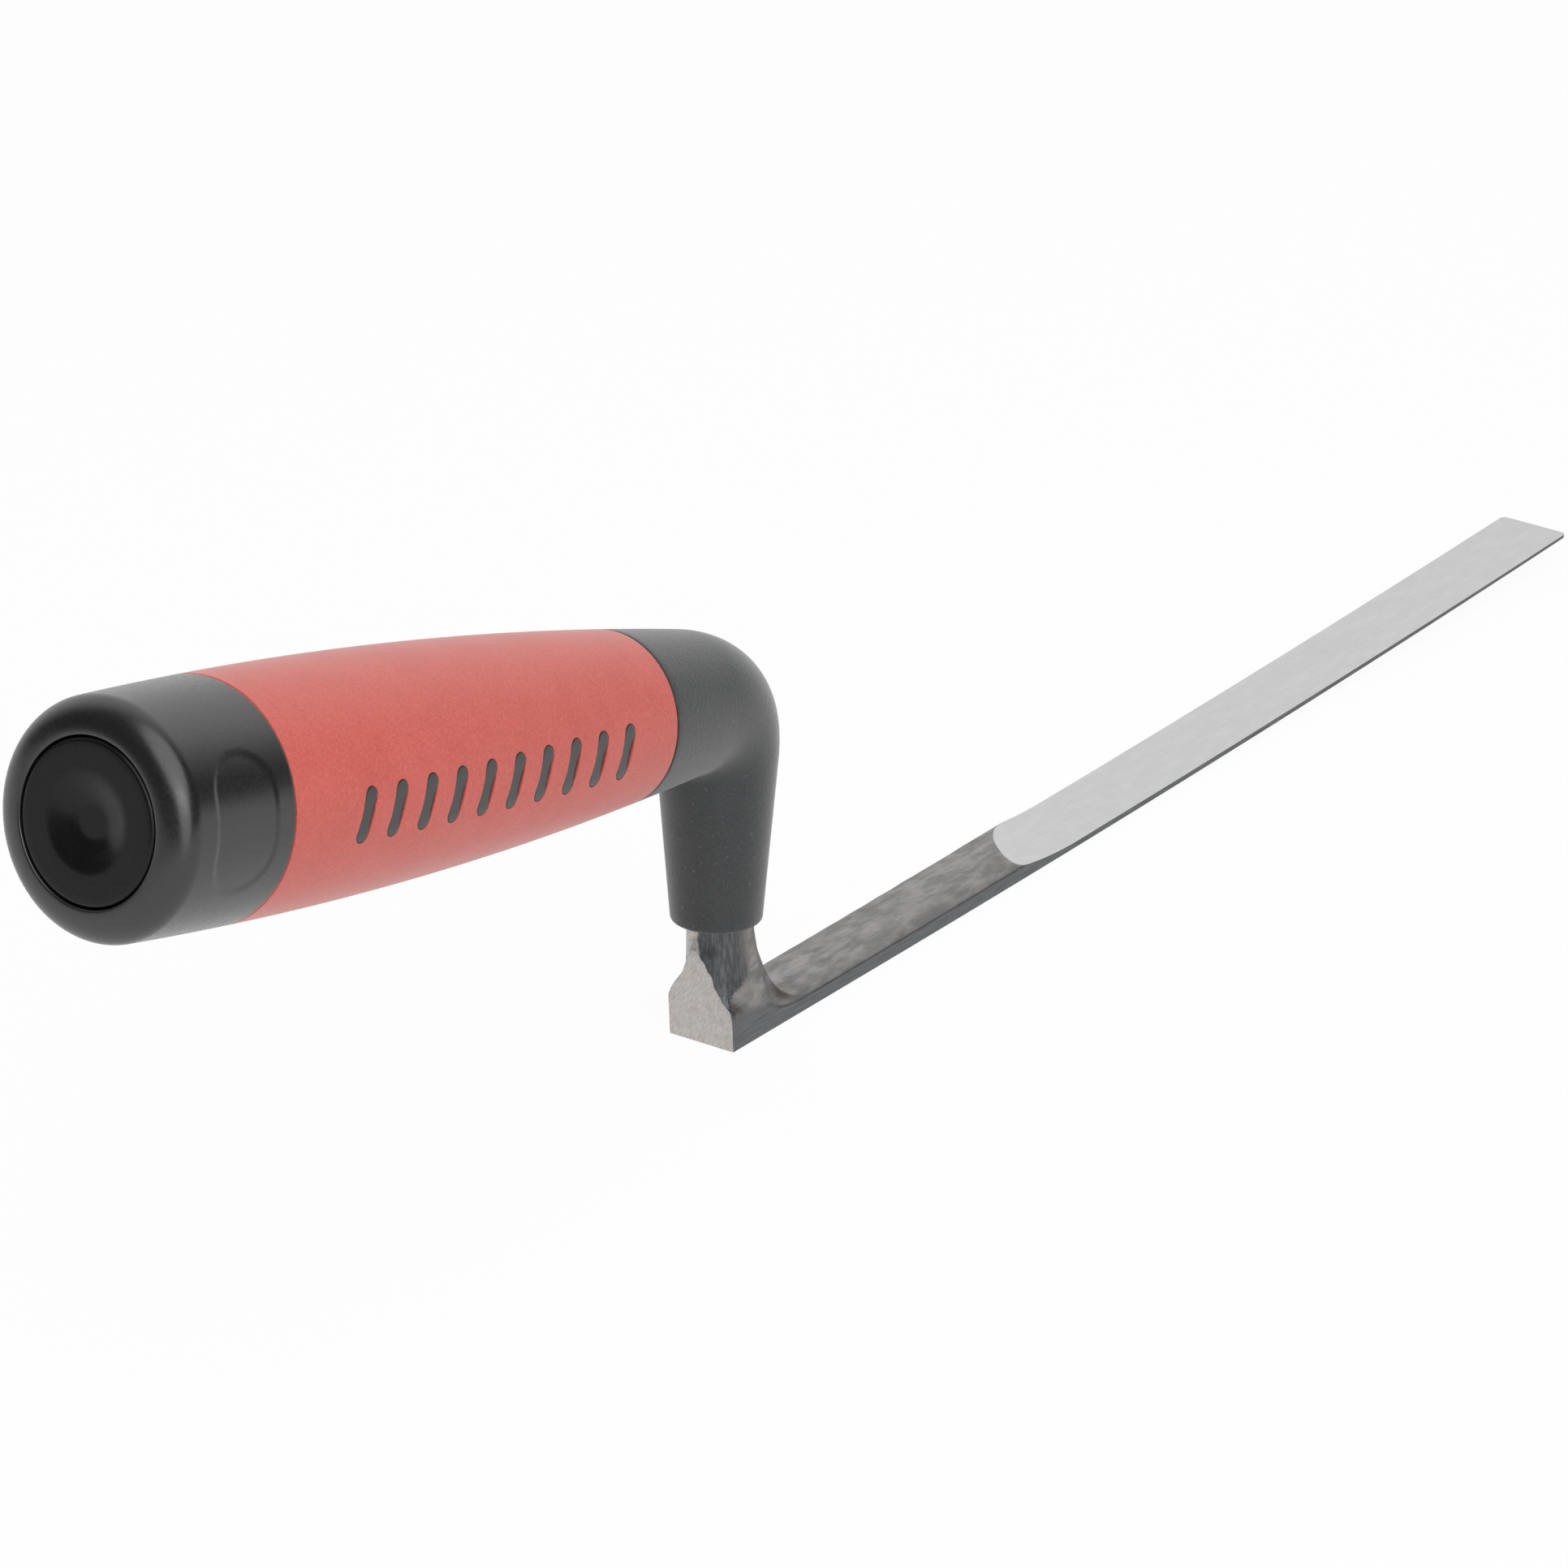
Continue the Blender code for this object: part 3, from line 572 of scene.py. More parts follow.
def forged_finish():
    """Forged steel, dark on the shank's rear side, with the satin ground face towards the tip."""
    steel = Finish("forged_steel", metallic=1.0)
    mottle = steel.grain((3.5, 1.6, 1.6), detail=5, roughness=0.62)
    scratches = steel.grain((0.12, 3.0, 3.0), detail=4, roughness=0.6)
    is_ground = steel.band(steel.attribute("ground"), -0.01, 0.03)
    colour = steel.mix(steel.attribute("shade"), forged_colour(steel, mottle), shank_colour(steel))
    colour = steel.mix(steel.attribute("strip"), colour, strip_colour(steel))
    steel.set("Base Color", steel.mix(is_ground, colour, ground_colour(steel, scratches)))
    forged_rough = steel.band(mottle, *MIDDLE, 0.5, 0.4)
    ground_rough = steel.band(scratches, *MIDDLE, 0.5, 0.58)
    steel.set("Roughness", steel.mix(is_ground, forged_rough, ground_rough, "FLOAT"))
    forged_normal = steel.bump(steel.grain(0.7, detail=4, roughness=0.62), 0.06)
    steel.set("Normal", steel.mix(is_ground, forged_normal, steel.bump(scratches, 0.012), "VECTOR"))
    return steel.material


def band_finish():
    """The blade's ground side edge."""
    edge = Finish("edge_steel", metallic=1.0)
    lines = edge.grain((4.0, 0.2, 0.16), detail=4, roughness=0.6)
    edge.set("Base Color", edge.mix(edge.band(lines, *MIDDLE), (0.105, 0.108, 0.11), (0.18, 0.184, 0.187)))
    edge.set("Roughness", edge.band(lines, *MIDDLE, 0.34, 0.46))
    edge.set("Normal", edge.bump(lines, 0.015))
    return edge.material


def heel_finish():
    """The heel's pale rear face, with slanted grinding marks."""
    heel = Finish("heel_steel", metallic=1.0)
    marks = heel.grain((3.0, 0.16, 1.1), detail=5, roughness=0.7, turn=MARKS_TURN)
    base = heel.mix(heel.band(marks, *MIDDLE), (0.42, 0.396, 0.376), (0.70, 0.664, 0.64))
    blotches = heel.grain(1.1, detail=4, roughness=0.65)
    heel.set("Base Color", heel.mix(heel.band(blotches, 0.45, 0.75, 0.0, 0.55), base, (0.44, 0.40, 0.37)))
    heel.set("Roughness", heel.band(marks, *MIDDLE, 0.42, 0.52))
    heel.set("Normal", heel.bump(marks, 0.05))
    return heel.material


def zinc_finish():
    """Bright zinc plating, slightly cloudy."""
    zinc = Finish("zinc_plate", metallic=1.0)
    cloud = zinc.grain(1.2, detail=4, roughness=0.6)
    zinc.set("Base Color", zinc.mix(zinc.band(cloud, *MIDDLE), (0.60, 0.61, 0.60), (0.72, 0.72, 0.69)))
    zinc.set("Roughness", zinc.band(cloud, *MIDDLE, 0.28, 0.4))
    zinc.set("Normal", zinc.bump(zinc.grain(0.2, detail=3), 0.008))
    return zinc.material


# Forging: blade, heel, shank and tang

def sole(x):
    return TIP_RISE * (max(x - FLAT_END, 0) / (TIP_X - FLAT_END)) ** 2


def half_width(x):
    """Half the blade's width, with the tip's corners rounded."""
    full = lerp(BLADE_WIDTH, TIP_WIDTH, (x + HEEL_BACK) / BLADE_LENGTH) / 2
    past = max(x - (TIP_X - TIP_CORNER), 0)
    return full - TIP_CORNER + math.sqrt(max(TIP_CORNER ** 2 - past ** 2, 0))


def side_height(x):
    return lerp(FORGED_EDGE, HEEL_EDGE, fade((x + HEEL_BACK) / HEEL_LENGTH))


def forged_height(x, share):
    """Height of the forged top above the sole, at a share of the half width."""
    heel = fade((x + HEEL_BACK) / CROWN_LENGTH)
    crown = lerp(FORGED_CROWN, HEEL_CROWN, heel)
    power = lerp(CROWN_POWER, HEEL_POWER, heel)
    share = min(abs(share), 1)
    return side_height(x) + crown * (1 - share ** power) ** (1 / power)


def ground_height(x, y):
    """Blade thickness left by the grinding of the top face."""
    taper = max(x - RUNOUT_END, 0) / (TIP_X - RUNOUT_END)
    runout = max(RUNOUT_END - x + GRIND_SKEW * y, 0) / GRIND_RUNOUT
    full = FORGED_EDGE + FORGED_CROWN - GROUND_THICKNESS
    tilt = GRIND_TILT * y * (1 - taper)
    return lerp(GROUND_THICKNESS, TIP_THICKNESS, taper) + full * runout ** 2 + tilt


def forged_wave(point):
    return FORGED_WAVE * noise.noise(point / FORGED_WAVE_LENGTH)


def strip_share(point):
    """The pale strip up the shank that carries on the rear face's grinding: 1 where pale."""
    turned_share = ramp(point.z, STRIP_START, STRIP_FULL)
    lean = math.tan(SHANK_LEAN) * max(point.z - STRIP_FULL, 0)
    edge = -HEEL_BACK + turned_share * (STRIP_TWIST * point.y + STRIP_EASE + lean)
    return rise((edge + STRIP_WAVE * noise.noise(point * STRIP_NOISE) - point.x) / STRIP_BLUR + 0.5)


def stain_and_shade_share(point):
    """Marks: a rust-brown patch darkened with painted shade in the hollow ahead of the shank's foot, and a
    dark spot behind the shank; 1 where darkest.
    """
    darkest = 0
    for middle, reach in STAINS_AND_SHADE:
        away = point - middle
        far = math.hypot(away.x / reach.x, away.y / reach.y, away.z / reach.z)
        darkest = max(darkest, fade(far + STAIN_AND_SHADE_WAVE * noise.noise(point * STAIN_AND_SHADE_NOISE)))
    return darkest


def shank_edge(angle, height):
    """Distance from the fan's origin to the leaning shank, in a direction and at a height."""
    ahead = height * math.tan(SHANK_LEAN) + SHANK_AHEAD - RAY_ORIGIN
    return ahead * math.cos(angle) + math.sqrt(SHANK_RADIUS ** 2 - (ahead * math.sin(angle)) ** 2)


def ray_point(angle, reach, height):
    return Vector((RAY_ORIGIN + reach * math.cos(angle), reach * math.sin(angle), height))


def heel_top(angle, reach):
    spot = ray_point(angle, reach, 0)
    return forged_height(spot.x, spot.y / half_width(spot.x))


def foot_profile(angle, room):
    """Reach and height of the flare at the shank's foot, and its height at a distance from the shank."""
    front = (1 + math.cos(angle)) / 2
    to_left = math.sin(angle)
    rear = ramp(front, *FOOT_REAR)
    left = ramp(to_left, *FOOT_LEFT)
    rear_right = rear * (1 - left)
    spare = lerp(FOOT_SPARE_SIDE, FOOT_SPARE_FRONT, ramp(front, *FOOT_SPARE_AHEAD))
    reach = min(room * lerp(spare, FOOT_SPARE_REAR, rear_right), FOOT_REACH_FRONT)
    behind = lerp(FOOT_HEIGHT_REAR, FOOT_HEIGHT_LEFT, ramp(to_left, *FOOT_REAR_LEFT))
    ahead = lerp(FOOT_HEIGHT_FRONT, FOOT_HEIGHT_AHEAD_LEFT, ramp(to_left, *FOOT_AHEAD_LEFT))
    height = lerp(behind, ahead, ramp(front, *FOOT_HEIGHT_AHEAD))
    power = lerp(FOOT_POWER, FOOT_POWER_FRONT, ramp(front, *FOOT_POWER_AHEAD))
    power = lerp(power, FOOT_POWER_REAR, rear_right)

    def above(away):
        inward = max(1 - away / reach, 0)
        hollow = inward ** power
        straight = 1 - (1 - inward ** CORNER_POWER) ** (1 / CORNER_POWER)
        return height * lerp(hollow, straight, rear * left)

    return reach, height, above


def ray_line(angle, reach, at_rear):
    """Points down the shank and out over its foot to the heel's edge, each with a shank share."""
    room = CORNER_ROOM if at_rear else max(reach - shank_edge(angle, HEEL_EDGE), LEAST_ROOM)
    foot_reach, foot_height, above = foot_profile(angle, room)
    foot = heel_top(angle, SHANK_RADIUS) + foot_height
    line = [(ray_point(angle, shank_edge(angle, height), height), 1)
            for height in spread(SHANK_TOP, foot, RAY_SAMPLES)]
    out = 0
    for step in spread(0, 1, RAY_SAMPLES)[1:]:
        away = foot_reach * step ** 2
        height = foot
        for _ in range(FIT_ROUNDS):
            out = shank_edge(angle, height) + away
            height = heel_top(angle, out) + above(away)
        line.append((ray_point(angle, out, height), 1 - step))
    line += [(ray_point(angle, far, heel_top(angle, far)), 0)
             for far in spread(out, max(reach * 1.2, out + 1), RAY_SAMPLES)[1:]]

    def past(point):
        if at_rear:
            return -HEEL_BACK + REAR_CHIPS * noise.noise(point * REAR_CHIP_NOISE) - point.x
        return math.hypot(point.x - RAY_ORIGIN, point.y) - reach

    kept = [line[0]]
    for (point, share), (next_point, next_share) in zip(line, line[1:]):
        before, after = past(point), past(next_point)
        if after >= 0:
            cut = before / (before - after)
            kept.append((point.lerp(next_point, cut), lerp(share, next_share, cut)))
            break
        kept.append((next_point, next_share))
    return kept


def resample(line, count):
    """The same line with evenly spaced points."""
    lengths = [0]
    for (point, _), (next_point, _) in zip(line, line[1:]):
        lengths.append(lengths[-1] + (next_point - point).length)
    result, index = [], 0
    for step in range(count + 1):
        target = lengths[-1] * step / count
        while index < len(lengths) - 2 and lengths[index + 1] < target:
            index += 1
        span = max(lengths[index + 1] - lengths[index], 1e-9)
        share = min(max((target - lengths[index]) / span, 0), 1)
        (point, first), (next_point, second) = line[index], line[index + 1]
        result.append((point.lerp(next_point, share), lerp(first, second, share)))
    return result


def crown_shares():
    return [-math.cos(math.pi * index / FRONT_RAYS) for index in range(FRONT_RAYS + 1)]


def heel_outline():
    """Plan points round the heel from its front right corner, each with whether it is on the rear face."""
    wide = half_width(HEEL_FRONT)
    narrow = half_width(-HEEL_BACK)
    points = [(HEEL_FRONT, share * wide, False) for share in crown_shares()]
    points += [(x, half_width(x), False) for x in spread(HEEL_FRONT, -HEEL_BACK, SIDE_RAYS)[1:]]
    points += [(-HEEL_BACK, y, True) for y in spread(narrow, -narrow, REAR_RAYS)[1:-1]]
    return points + [(x, -half_width(x), False) for x in spread(-HEEL_BACK, HEEL_FRONT, SIDE_RAYS)[:-1]]


def shank_shade(point):
    """The shank's dark rear right side: 1 where dark, 0 on the forged heel."""
    front = lerp(*SHADE_EDGE, ramp(point.z, *SHADE_RISE))
    blur = lerp(*SHADE_BLUR, ramp(point.z, *SHADE_BLUR_RISE))
    return rise((front - point.x) / blur + 0.5)


class Skin:
    """Points of the forging with the values that its finish reads, and faces with their finish."""

    def __init__(self):
        self.points, self.values, self.faces, self.finishes = [], [], [], []

    def add(self, point, ground=-2.0, crease=2.0, shade=0.0, strip=0.0, stain=0.0):
        self.points.append(point)
        self.values.append((ground, crease, shade, strip, stain))
        return len(self.points) - 1

    def cover(self, faces, finish):
        self.faces += faces
        self.finishes += [finish] * len(faces)

    def bridge(self, near, far, finish):
        self.cover(ring_faces(near, far, closed=False), finish)


def heel_rays(skin):
    """The heel's top and the shank above it: columns of point numbers from the shank's top to the edge."""
    columns = []
    for x, y, at_rear in heel_outline():
        angle = math.atan2(y, x - RAY_ORIGIN)
        line = resample(ray_line(angle, math.hypot(x - RAY_ORIGIN, y), at_rear), RAY_RINGS)
        column = []
        on_side = x < HEEL_FRONT and not at_rear
        edge = line[-1][0]
        for point, shank_share in line:
            moved = point + Vector((0, 0, forged_wave(point) * (1 - shank_share)))
            crease = point.z - (edge.z if on_side else side_height(point.x))
            marks = {"shade": shank_shade(point), "strip": strip_share(point), "stain": stain_and_shade_share(point)}
            column.append(skin.add(moved, crease=crease, **marks))
        columns.append(column)
    return columns


def add_wall(skin, top, x, base=0):
    """Point numbers down a side face from the number of its top point, with a small bevel at the sole."""
    point = skin.points[top]
    wall = [top]
    rows = spread(point.z - base, SOLE_BEVEL, WALL_ROWS - 1)[1:]
    for height, inset in [(row, 0) for row in rows] + [(0, SOLE_BEVEL)]:
        limit = half_width(x) - inset
        y = min(max(point.y, -limit), limit)
        wall.append(skin.add(Vector((max(x, inset - HEEL_BACK), y, base + height))))
    return wall


def heel_walls(skin, columns):
    """The heel's side and rear faces, below every column but the front ones."""
    outline = heel_outline()
    walls = []
    for number in list(range(FRONT_RAYS, len(columns))) + [0]:
        _, _, at_rear = outline[number]
        top = columns[number][-1]
        walls.append(add_wall(skin, top, -HEEL_BACK if at_rear else skin.points[top].x))
    return walls


def blade_point(x, share):
    y = share * half_width(x)
    height = forged_height(x, share)
    ground = ground_height(x, y)
    cut = height - ground
    wave = forged_wave(Vector((x, y, height))) * fade(cut / WAVE_EASE + 1)
    crease = height - side_height(x)
    return Vector((x, y, sole(x) + min(height, ground) + wave)), cut, crease


def blade_stations():
    corner = TIP_X - TIP_CORNER
    count = round((corner - HEEL_FRONT) / BLADE_STEP)
    stations = spread(HEEL_FRONT, corner, count)[1:]
    return stations + [corner + TIP_CORNER * math.sin(math.pi / 2 * share) for share in spread(0, 1, 6)[1:]]


def make_forging():
    skin = Skin()
    columns = heel_rays(skin)
    for near, far in zip(columns, columns[1:] + columns[:1]):
        skin.bridge(near, far, TOP_FINISH)
    walls = heel_walls(skin, columns)
    for number, (near, far) in enumerate(zip(walls, walls[1:])):
        on_rear = SIDE_RAYS <= number < SIDE_RAYS + REAR_RAYS
        skin.bridge(near, far, REAR_FINISH if on_rear else BAND_FINISH)
    skin.cover([tuple(wall[-1] for wall in walls)], BAND_FINISH)

    left, right = walls[0], walls[-1]
    tops = [column[-1] for column in columns[:FRONT_RAYS + 1]]
    for x in blade_stations():
        new_tops = []
        for share in crown_shares():
            point, cut, crease = blade_point(x, share)
            new_tops.append(skin.add(point, cut, crease, stain=stain_and_shade_share(point)))
        new_right = add_wall(skin, new_tops[0], x, sole(x))
        new_left = add_wall(skin, new_tops[-1], x, sole(x))
        skin.bridge(tops, new_tops, TOP_FINISH)
        skin.bridge(right, new_right, BAND_FINISH)
        skin.bridge(left, new_left, BAND_FINISH)
        skin.cover([(right[-1], left[-1], new_left[-1], new_right[-1])], BAND_FINISH)
        tops, right, left = new_tops, new_right, new_left
    skin.cover([tuple(right[::-1] + tops[1:-1] + left)], BAND_FINISH)

    tang_rings(skin, columns)
    mesh = new_mesh("forging", skin.points, skin.faces)
    for index, name in enumerate(SKIN_VALUES):
        attribute = mesh.attributes.new(name, "FLOAT", "POINT")
        attribute.data.foreach_set("value", [values[index] for values in skin.values])
    mesh.polygons.foreach_set("material_index", skin.finishes)
    finishes = [forged_finish(), band_finish(), heel_finish()]
    add_piece("forging", mesh, "blade_and_tang", finishes)


def tang_rings(skin, columns):
    """The bent tang, from the shank's top to its chamfered end."""
    angles = []
    for column in columns:
        point = skin.points[column[0]] - on_shank(SHANK_TOP)
        angles.append(math.atan2(point.y, point.x))
    ring = [column[0] for column in columns]
    route = tang_route(SHANK_TOP + TANG_STEP, TANG_END - TANG_CHAMFER)
    stops = [(*stop, SHANK_RADIUS) for stop in route]
    stops.append((on_handle(TANG_END), ABOVE_HANDLE, SHANK_RADIUS - TANG_CHAMFER))
    for centre, outward, radius in stops:
        new_ring = []
        for angle in angles:
            way = outward * math.cos(angle) + SIDE * math.sin(angle)
            new_ring.append(skin.add(centre + way * radius, shade=1.0))
        skin.cover(ring_faces(ring, new_ring), TOP_FINISH)
        ring = new_ring
    skin.cover([tuple(ring)], TOP_FINISH)


# Neck boot: elbow and neck as one loft of elliptical sections

def seam_edge(edge, way):
    """Distances and insets of a rounded edge at a seam, from its lip to the barrel's surface."""
    return [(edge + way * SEAM_ROUNDING * (1 - math.cos(turn)), SEAM_ROUNDING * (1 - math.sin(turn)))
            for turn in spread(0, math.pi / 2, EDGE_STEPS)]


def section(inner, outer, side_radius):
    middle = (inner + outer) / 2
    reach = (outer - inner) / 2
    return [middle + reach * math.cos(angle) + SIDE * side_radius * math.sin(angle)
            for angle in round_angles(RING_POINTS)]


def round_section(centre, outward, radius):
    return centre - outward * radius, centre + outward * radius, radius


def handle_section(distance, inset=0):
    return round_section(on_handle(distance), ABOVE_HANDLE, barrel(distance) - inset)


def neck_section(height, inset=0):
    return round_section(on_neck(height), BEFORE_SHANK, neck(height) - inset)


def crotch():
    """Distance along the handle where its underside meets the back of the neck."""
    near, far = 0, SEAM_FRONT
    for _ in range(40):
        distance = (near + far) / 2
        point = handle_section(distance)[0]
        if point.dot(BEFORE_SHANK) + NECK_SETBACK + neck(point.dot(UP_SHANK)) > 0:
            near = distance
        else:
            far = distance
    return near


def crossing(first, first_way, second, second_way):
    """Meeting point of two lines in the XZ plane."""
    apart = second - first
    turn_rate = first_way.x * second_way.z - first_way.z * second_way.x
    return first + first_way * ((apart.x * second_way.z - apart.z * second_way.x) / turn_rate)


def bezier(start, start_control, end_control, end, share):
    rest = 1 - share
    return (start * rest ** 3 + start_control * 3 * rest ** 2 * share
            + end_control * 3 * rest * share ** 2 + end * share ** 3)


def elbow_rings(corner_distance):
    """Sections that fan round the inner corner, between the handle and the neck."""
    corner = handle_section(corner_distance)[0]
    handle_stop = corner_distance + CROTCH_FILLET
    neck_stop = corner.dot(UP_SHANK) - CROTCH_FILLET
    near_inner, near_outer, near_side = handle_section(handle_stop)
    far_inner, far_outer, far_side = neck_section(neck_stop)
    top_way = near_outer - handle_section(handle_stop + CROTCH_FILLET)[1]
    front_way = far_outer - neck_section(neck_stop - CROTCH_FILLET)[1]
    peak = crossing(near_outer, top_way, far_outer, front_way)
    near_control = near_outer.lerp(peak, ELBOW_ROUNDNESS)
    far_control = far_outer.lerp(peak, ELBOW_ROUNDNESS)
    rings = []
    for share in spread(0, 1, 48):
        inner = near_inner.lerp(corner, share).lerp(corner.lerp(far_inner, share), share)
        outer = bezier(near_outer, near_control, far_control, far_outer, share)
        rings.append(section(inner, outer, lerp(near_side, far_side, share)))
    return rings, handle_stop, neck_stop


def make_boot():
    fan, handle_stop, neck_stop = elbow_rings(crotch())
    front = SEAM_FRONT - SEAM_GAP
    rings = [section(*handle_section(*edge)) for edge in seam_edge(front, -1)]
    rings += [section(*handle_section(d)) for d in spread(front - SEAM_ROUNDING, handle_stop, 14)[1:-1]]
    rings += fan
    rim = COLLAR_HEIGHT + COLLAR_ROUNDING
    rings += [section(*neck_section(height)) for height in spread(neck_stop, rim, 24)[1:]]
    for turn in spread(0, math.pi / 2, 6)[1:]:
        height = rim - COLLAR_ROUNDING * math.sin(turn)
        rings.append(section(*neck_section(height, COLLAR_ROUNDING * (1 - math.cos(turn)))))
    rings += [ring_round(centre, outward, SHANK_RADIUS + FIT_GAP, RING_POINTS)
              for centre, outward in tang_route(COLLAR_HEIGHT, front)]
    mesh = new_mesh("boot", *loft(rings, closed_loop=True))
    add_piece("boot", mesh, "neck_boot", [boot_finish()])


# Handle core, sleeve and slots

def barrel_profile(stops):
    """Profile from distances along the handle and insets from the barrel's surface."""
    return [(barrel(distance) - inset, distance) for distance, inset in stops]


def rear_rounding():
    """Profile of the rear rim, from the plug's groove round to the barrel."""
    edge = HANDLE_END - REAR_ROUNDING
    inner = PLUG_BORE_RADIUS + REAR_LAND
    wide = barrel(edge) - inner
    middle = (PLUG_BORE_RADIUS + LIP_ROUNDING, HANDLE_END - LIP_ROUNDING)
    lip = arc(middle, LIP_ROUNDING, 180, 90, EDGE_STEPS)
    bend = [(inner + wide * math.sin(turn), edge + REAR_ROUNDING * math.cos(turn))
            for turn in spread(0, math.pi / 2, 28)]
    return lip + bend[1:]


def pad_shift(radius, distance, angle):
    """Shallow recess with round ends on the rear end's right side."""
    on_rear_end = SEAM_REAR <= distance <= HANDLE_END - REAR_ROUNDING
    if not on_rear_end or radius < barrel(distance) - SURFACE_TOLERANCE:
        return 0
    turn = (angle + PAD_TURN + math.pi) % (2 * math.pi) - math.pi
    along = distance - SEAM_REAR - PAD_MIDDLE
    around = turn * radius
    straight = (PAD_WIDTH - PAD_LENGTH) / 2
    beyond = max(abs(around) - straight, 0)
    inside = PAD_LENGTH / 2 - math.hypot(along, beyond)
    return -PAD_DEPTH * rise(inside / PAD_EDGE)


def make_core():
    shoulder = SEAM_REAR + SEAM_GAP
    front = SEAM_FRONT + SEAM_GAP
    under = SLEEVE_WALL + FIT_GAP
    flat = spread(HANDLE_END - REAR_ROUNDING, shoulder + SEAM_ROUNDING, 60)[1:-1]
    bare = barrel_profile([(d, 0) for d in flat] + seam_edge(shoulder, 1)[::-1])
    inside = barrel_profile([(d, under) for d in spread(shoulder, front, 24)])
    nose = front - NOSE_LENGTH
    bore = SHANK_RADIUS + FIT_GAP
    step = HANDLE_END - PLUG_LENGTH - FIT_GAP
    tail = [(NOSE_RADIUS, front), (NOSE_RADIUS, nose), (bore, nose), (bore, SEAT), (SOCKET_RADIUS, SEAT),
            (SOCKET_RADIUS, step), (PLUG_BORE_RADIUS, step)]
    body = turned(rear_rounding() + bare + inside + tail, closed=True, shift=pad_shift)
    lands = [land(middle, side) for side in (1, -1) for middle in slot_middles()]
    mesh = new_mesh("core", *joined([body] + lands))
    finish = satin_finish("core_black", (0.008, 0.0082, 0.0086), (0.012, 0.0123, 0.0129), 0.28, specular=0.8)
    add_piece("core", mesh, "handle_core", [finish])


def slot_middles():
    middle = (SEAM_FRONT + SEAM_REAR) / 2 + SLOT_OFFSET
    return [middle + SLOT_PITCH * (index - (SLOT_COUNT - 1) / 2) for index in range(SLOT_COUNT)]


def slot_outline(middle, radius, count=20):
    """Outline of one slanted round-ended slot as (above, distance) pairs."""
    straight = (SLOT_LENGTH - SLOT_WIDTH) / 2
    lean = Vector((math.cos(SLOT_SLANT), -math.sin(SLOT_SLANT)))
    across = Vector((math.sin(SLOT_SLANT), math.cos(SLOT_SLANT)))
    outline = []
    for way in (1, -1):
        for angle in spread(0, math.pi, count):
            bulge = lean * math.sin(angle) + across * math.cos(angle)
            spot = (lean * straight + bulge * radius) * way
            outline.append((spot.x, middle + spot.y))
    return outline


def skin_point(above, distance, side, inset):
    """Point on one side of the barrel, at a height above the handle's axis and set in from the surface."""
    radius = barrel(distance) - inset
    out = math.sqrt(max(radius ** 2 - above ** 2, 0))
    return on_handle(distance) + ABOVE_HANDLE * above + SIDE * (side * out)


def land(middle, side):
    """One land of the core that fills a slot flush: a crowned patch with a rounded edge and a skirt."""
    full = SLOT_WIDTH / 2
    rings = [(full, SLEEVE_WALL + LAND_SKIRT)]
    for turn in spread(0, math.pi / 2, EDGE_STEPS):
        rings.append((full - LAND_ROUNDING * (1 - math.cos(turn)), LAND_ROUNDING * (1 - math.sin(turn))))
    rings += [(full * share, 0) for share in LAND_SHARES]
    return loft([[skin_point(*spot, side, inset) for spot in slot_outline(middle, radius)]
                 for radius, inset in rings])


def make_sleeve():
    front = SEAM_FRONT + SEAM_GAP
    rear = SEAM_REAR - SEAM_GAP
    outside = seam_edge(rear, -1)
    outside += [(d, 0) for d in spread(rear - SEAM_ROUNDING, front + SEAM_ROUNDING, 150)[1:-1]]
    outside += seam_edge(front, 1)[::-1]
    inside = [(d, SLEEVE_WALL) for d in spread(front, rear, 24)]
    mesh = new_mesh("sleeve", *turned(barrel_profile(outside + inside), closed=True))
    sleeve = add_piece("sleeve", mesh, "grip_sleeve", [red_finish()])
    cut_slots(sleeve)
    set_barrel_normals(sleeve.data)


def cut_slots(sleeve):
    """Cut the windows with bars that run right through, and keep the result."""
    bars = []
    for middle in slot_middles():
        outline = slot_outline(middle, SLOT_WIDTH / 2 + FIT_GAP)
        bars.append(loft([[on_handle(d) + ABOVE_HANDLE * above + SIDE * y for above, d in outline]
                          for y in (-BELLY_DIAMETER, BELLY_DIAMETER)]))
    cutter = new_object("slot_bars", new_mesh("slot_bars", *joined(bars)))
    modifier = sleeve.modifiers.new("slots", "BOOLEAN")
    modifier.operation = "DIFFERENCE"
    modifier.object = cutter
    modifier.solver = "EXACT"
    evaluated = sleeve.evaluated_get(bpy.context.evaluated_depsgraph_get())
    sleeve.modifiers.clear()
    sleeve.data = bpy.data.meshes.new_from_object(evaluated)
    bpy.data.objects.remove(cutter, do_unlink=True)


def set_barrel_normals(mesh):
    """Give the outer surface the barrel's own normals, so that the cut windows leave no shading marks."""
    mesh.shade_smooth()
    normals = []
    for polygon in mesh.polygons:
        for index in polygon.loop_indices:
            vertex = mesh.vertices[mesh.loops[index].vertex_index]
            point = vertex.co / MM - ELBOW
            distance = point.dot(ALONG_HANDLE)
            outward = point - ALONG_HANDLE * distance
            to_end = min(distance - SEAM_FRONT, SEAM_REAR - distance)
            slope = (distance - BELLY) / BARREL_RADIUS
            normal = (outward.normalized() + ALONG_HANDLE * slope).normalized()
            on_surface = outward.length > barrel(distance) - SURFACE_TOLERANCE
            if on_surface and polygon.normal.dot(normal) > FACING:
                normals.append(normal)
            elif (to_end < SEAM_GAP + SEAM_ROUNDING + SURFACE_TOLERANCE
                  and outward.length > barrel(distance) - SLEEVE_WALL / 2):
                normals.append(vertex.normal)
            else:
                normals.append(polygon.normal)
    mesh.normals_split_custom_set(normals)


# Plug

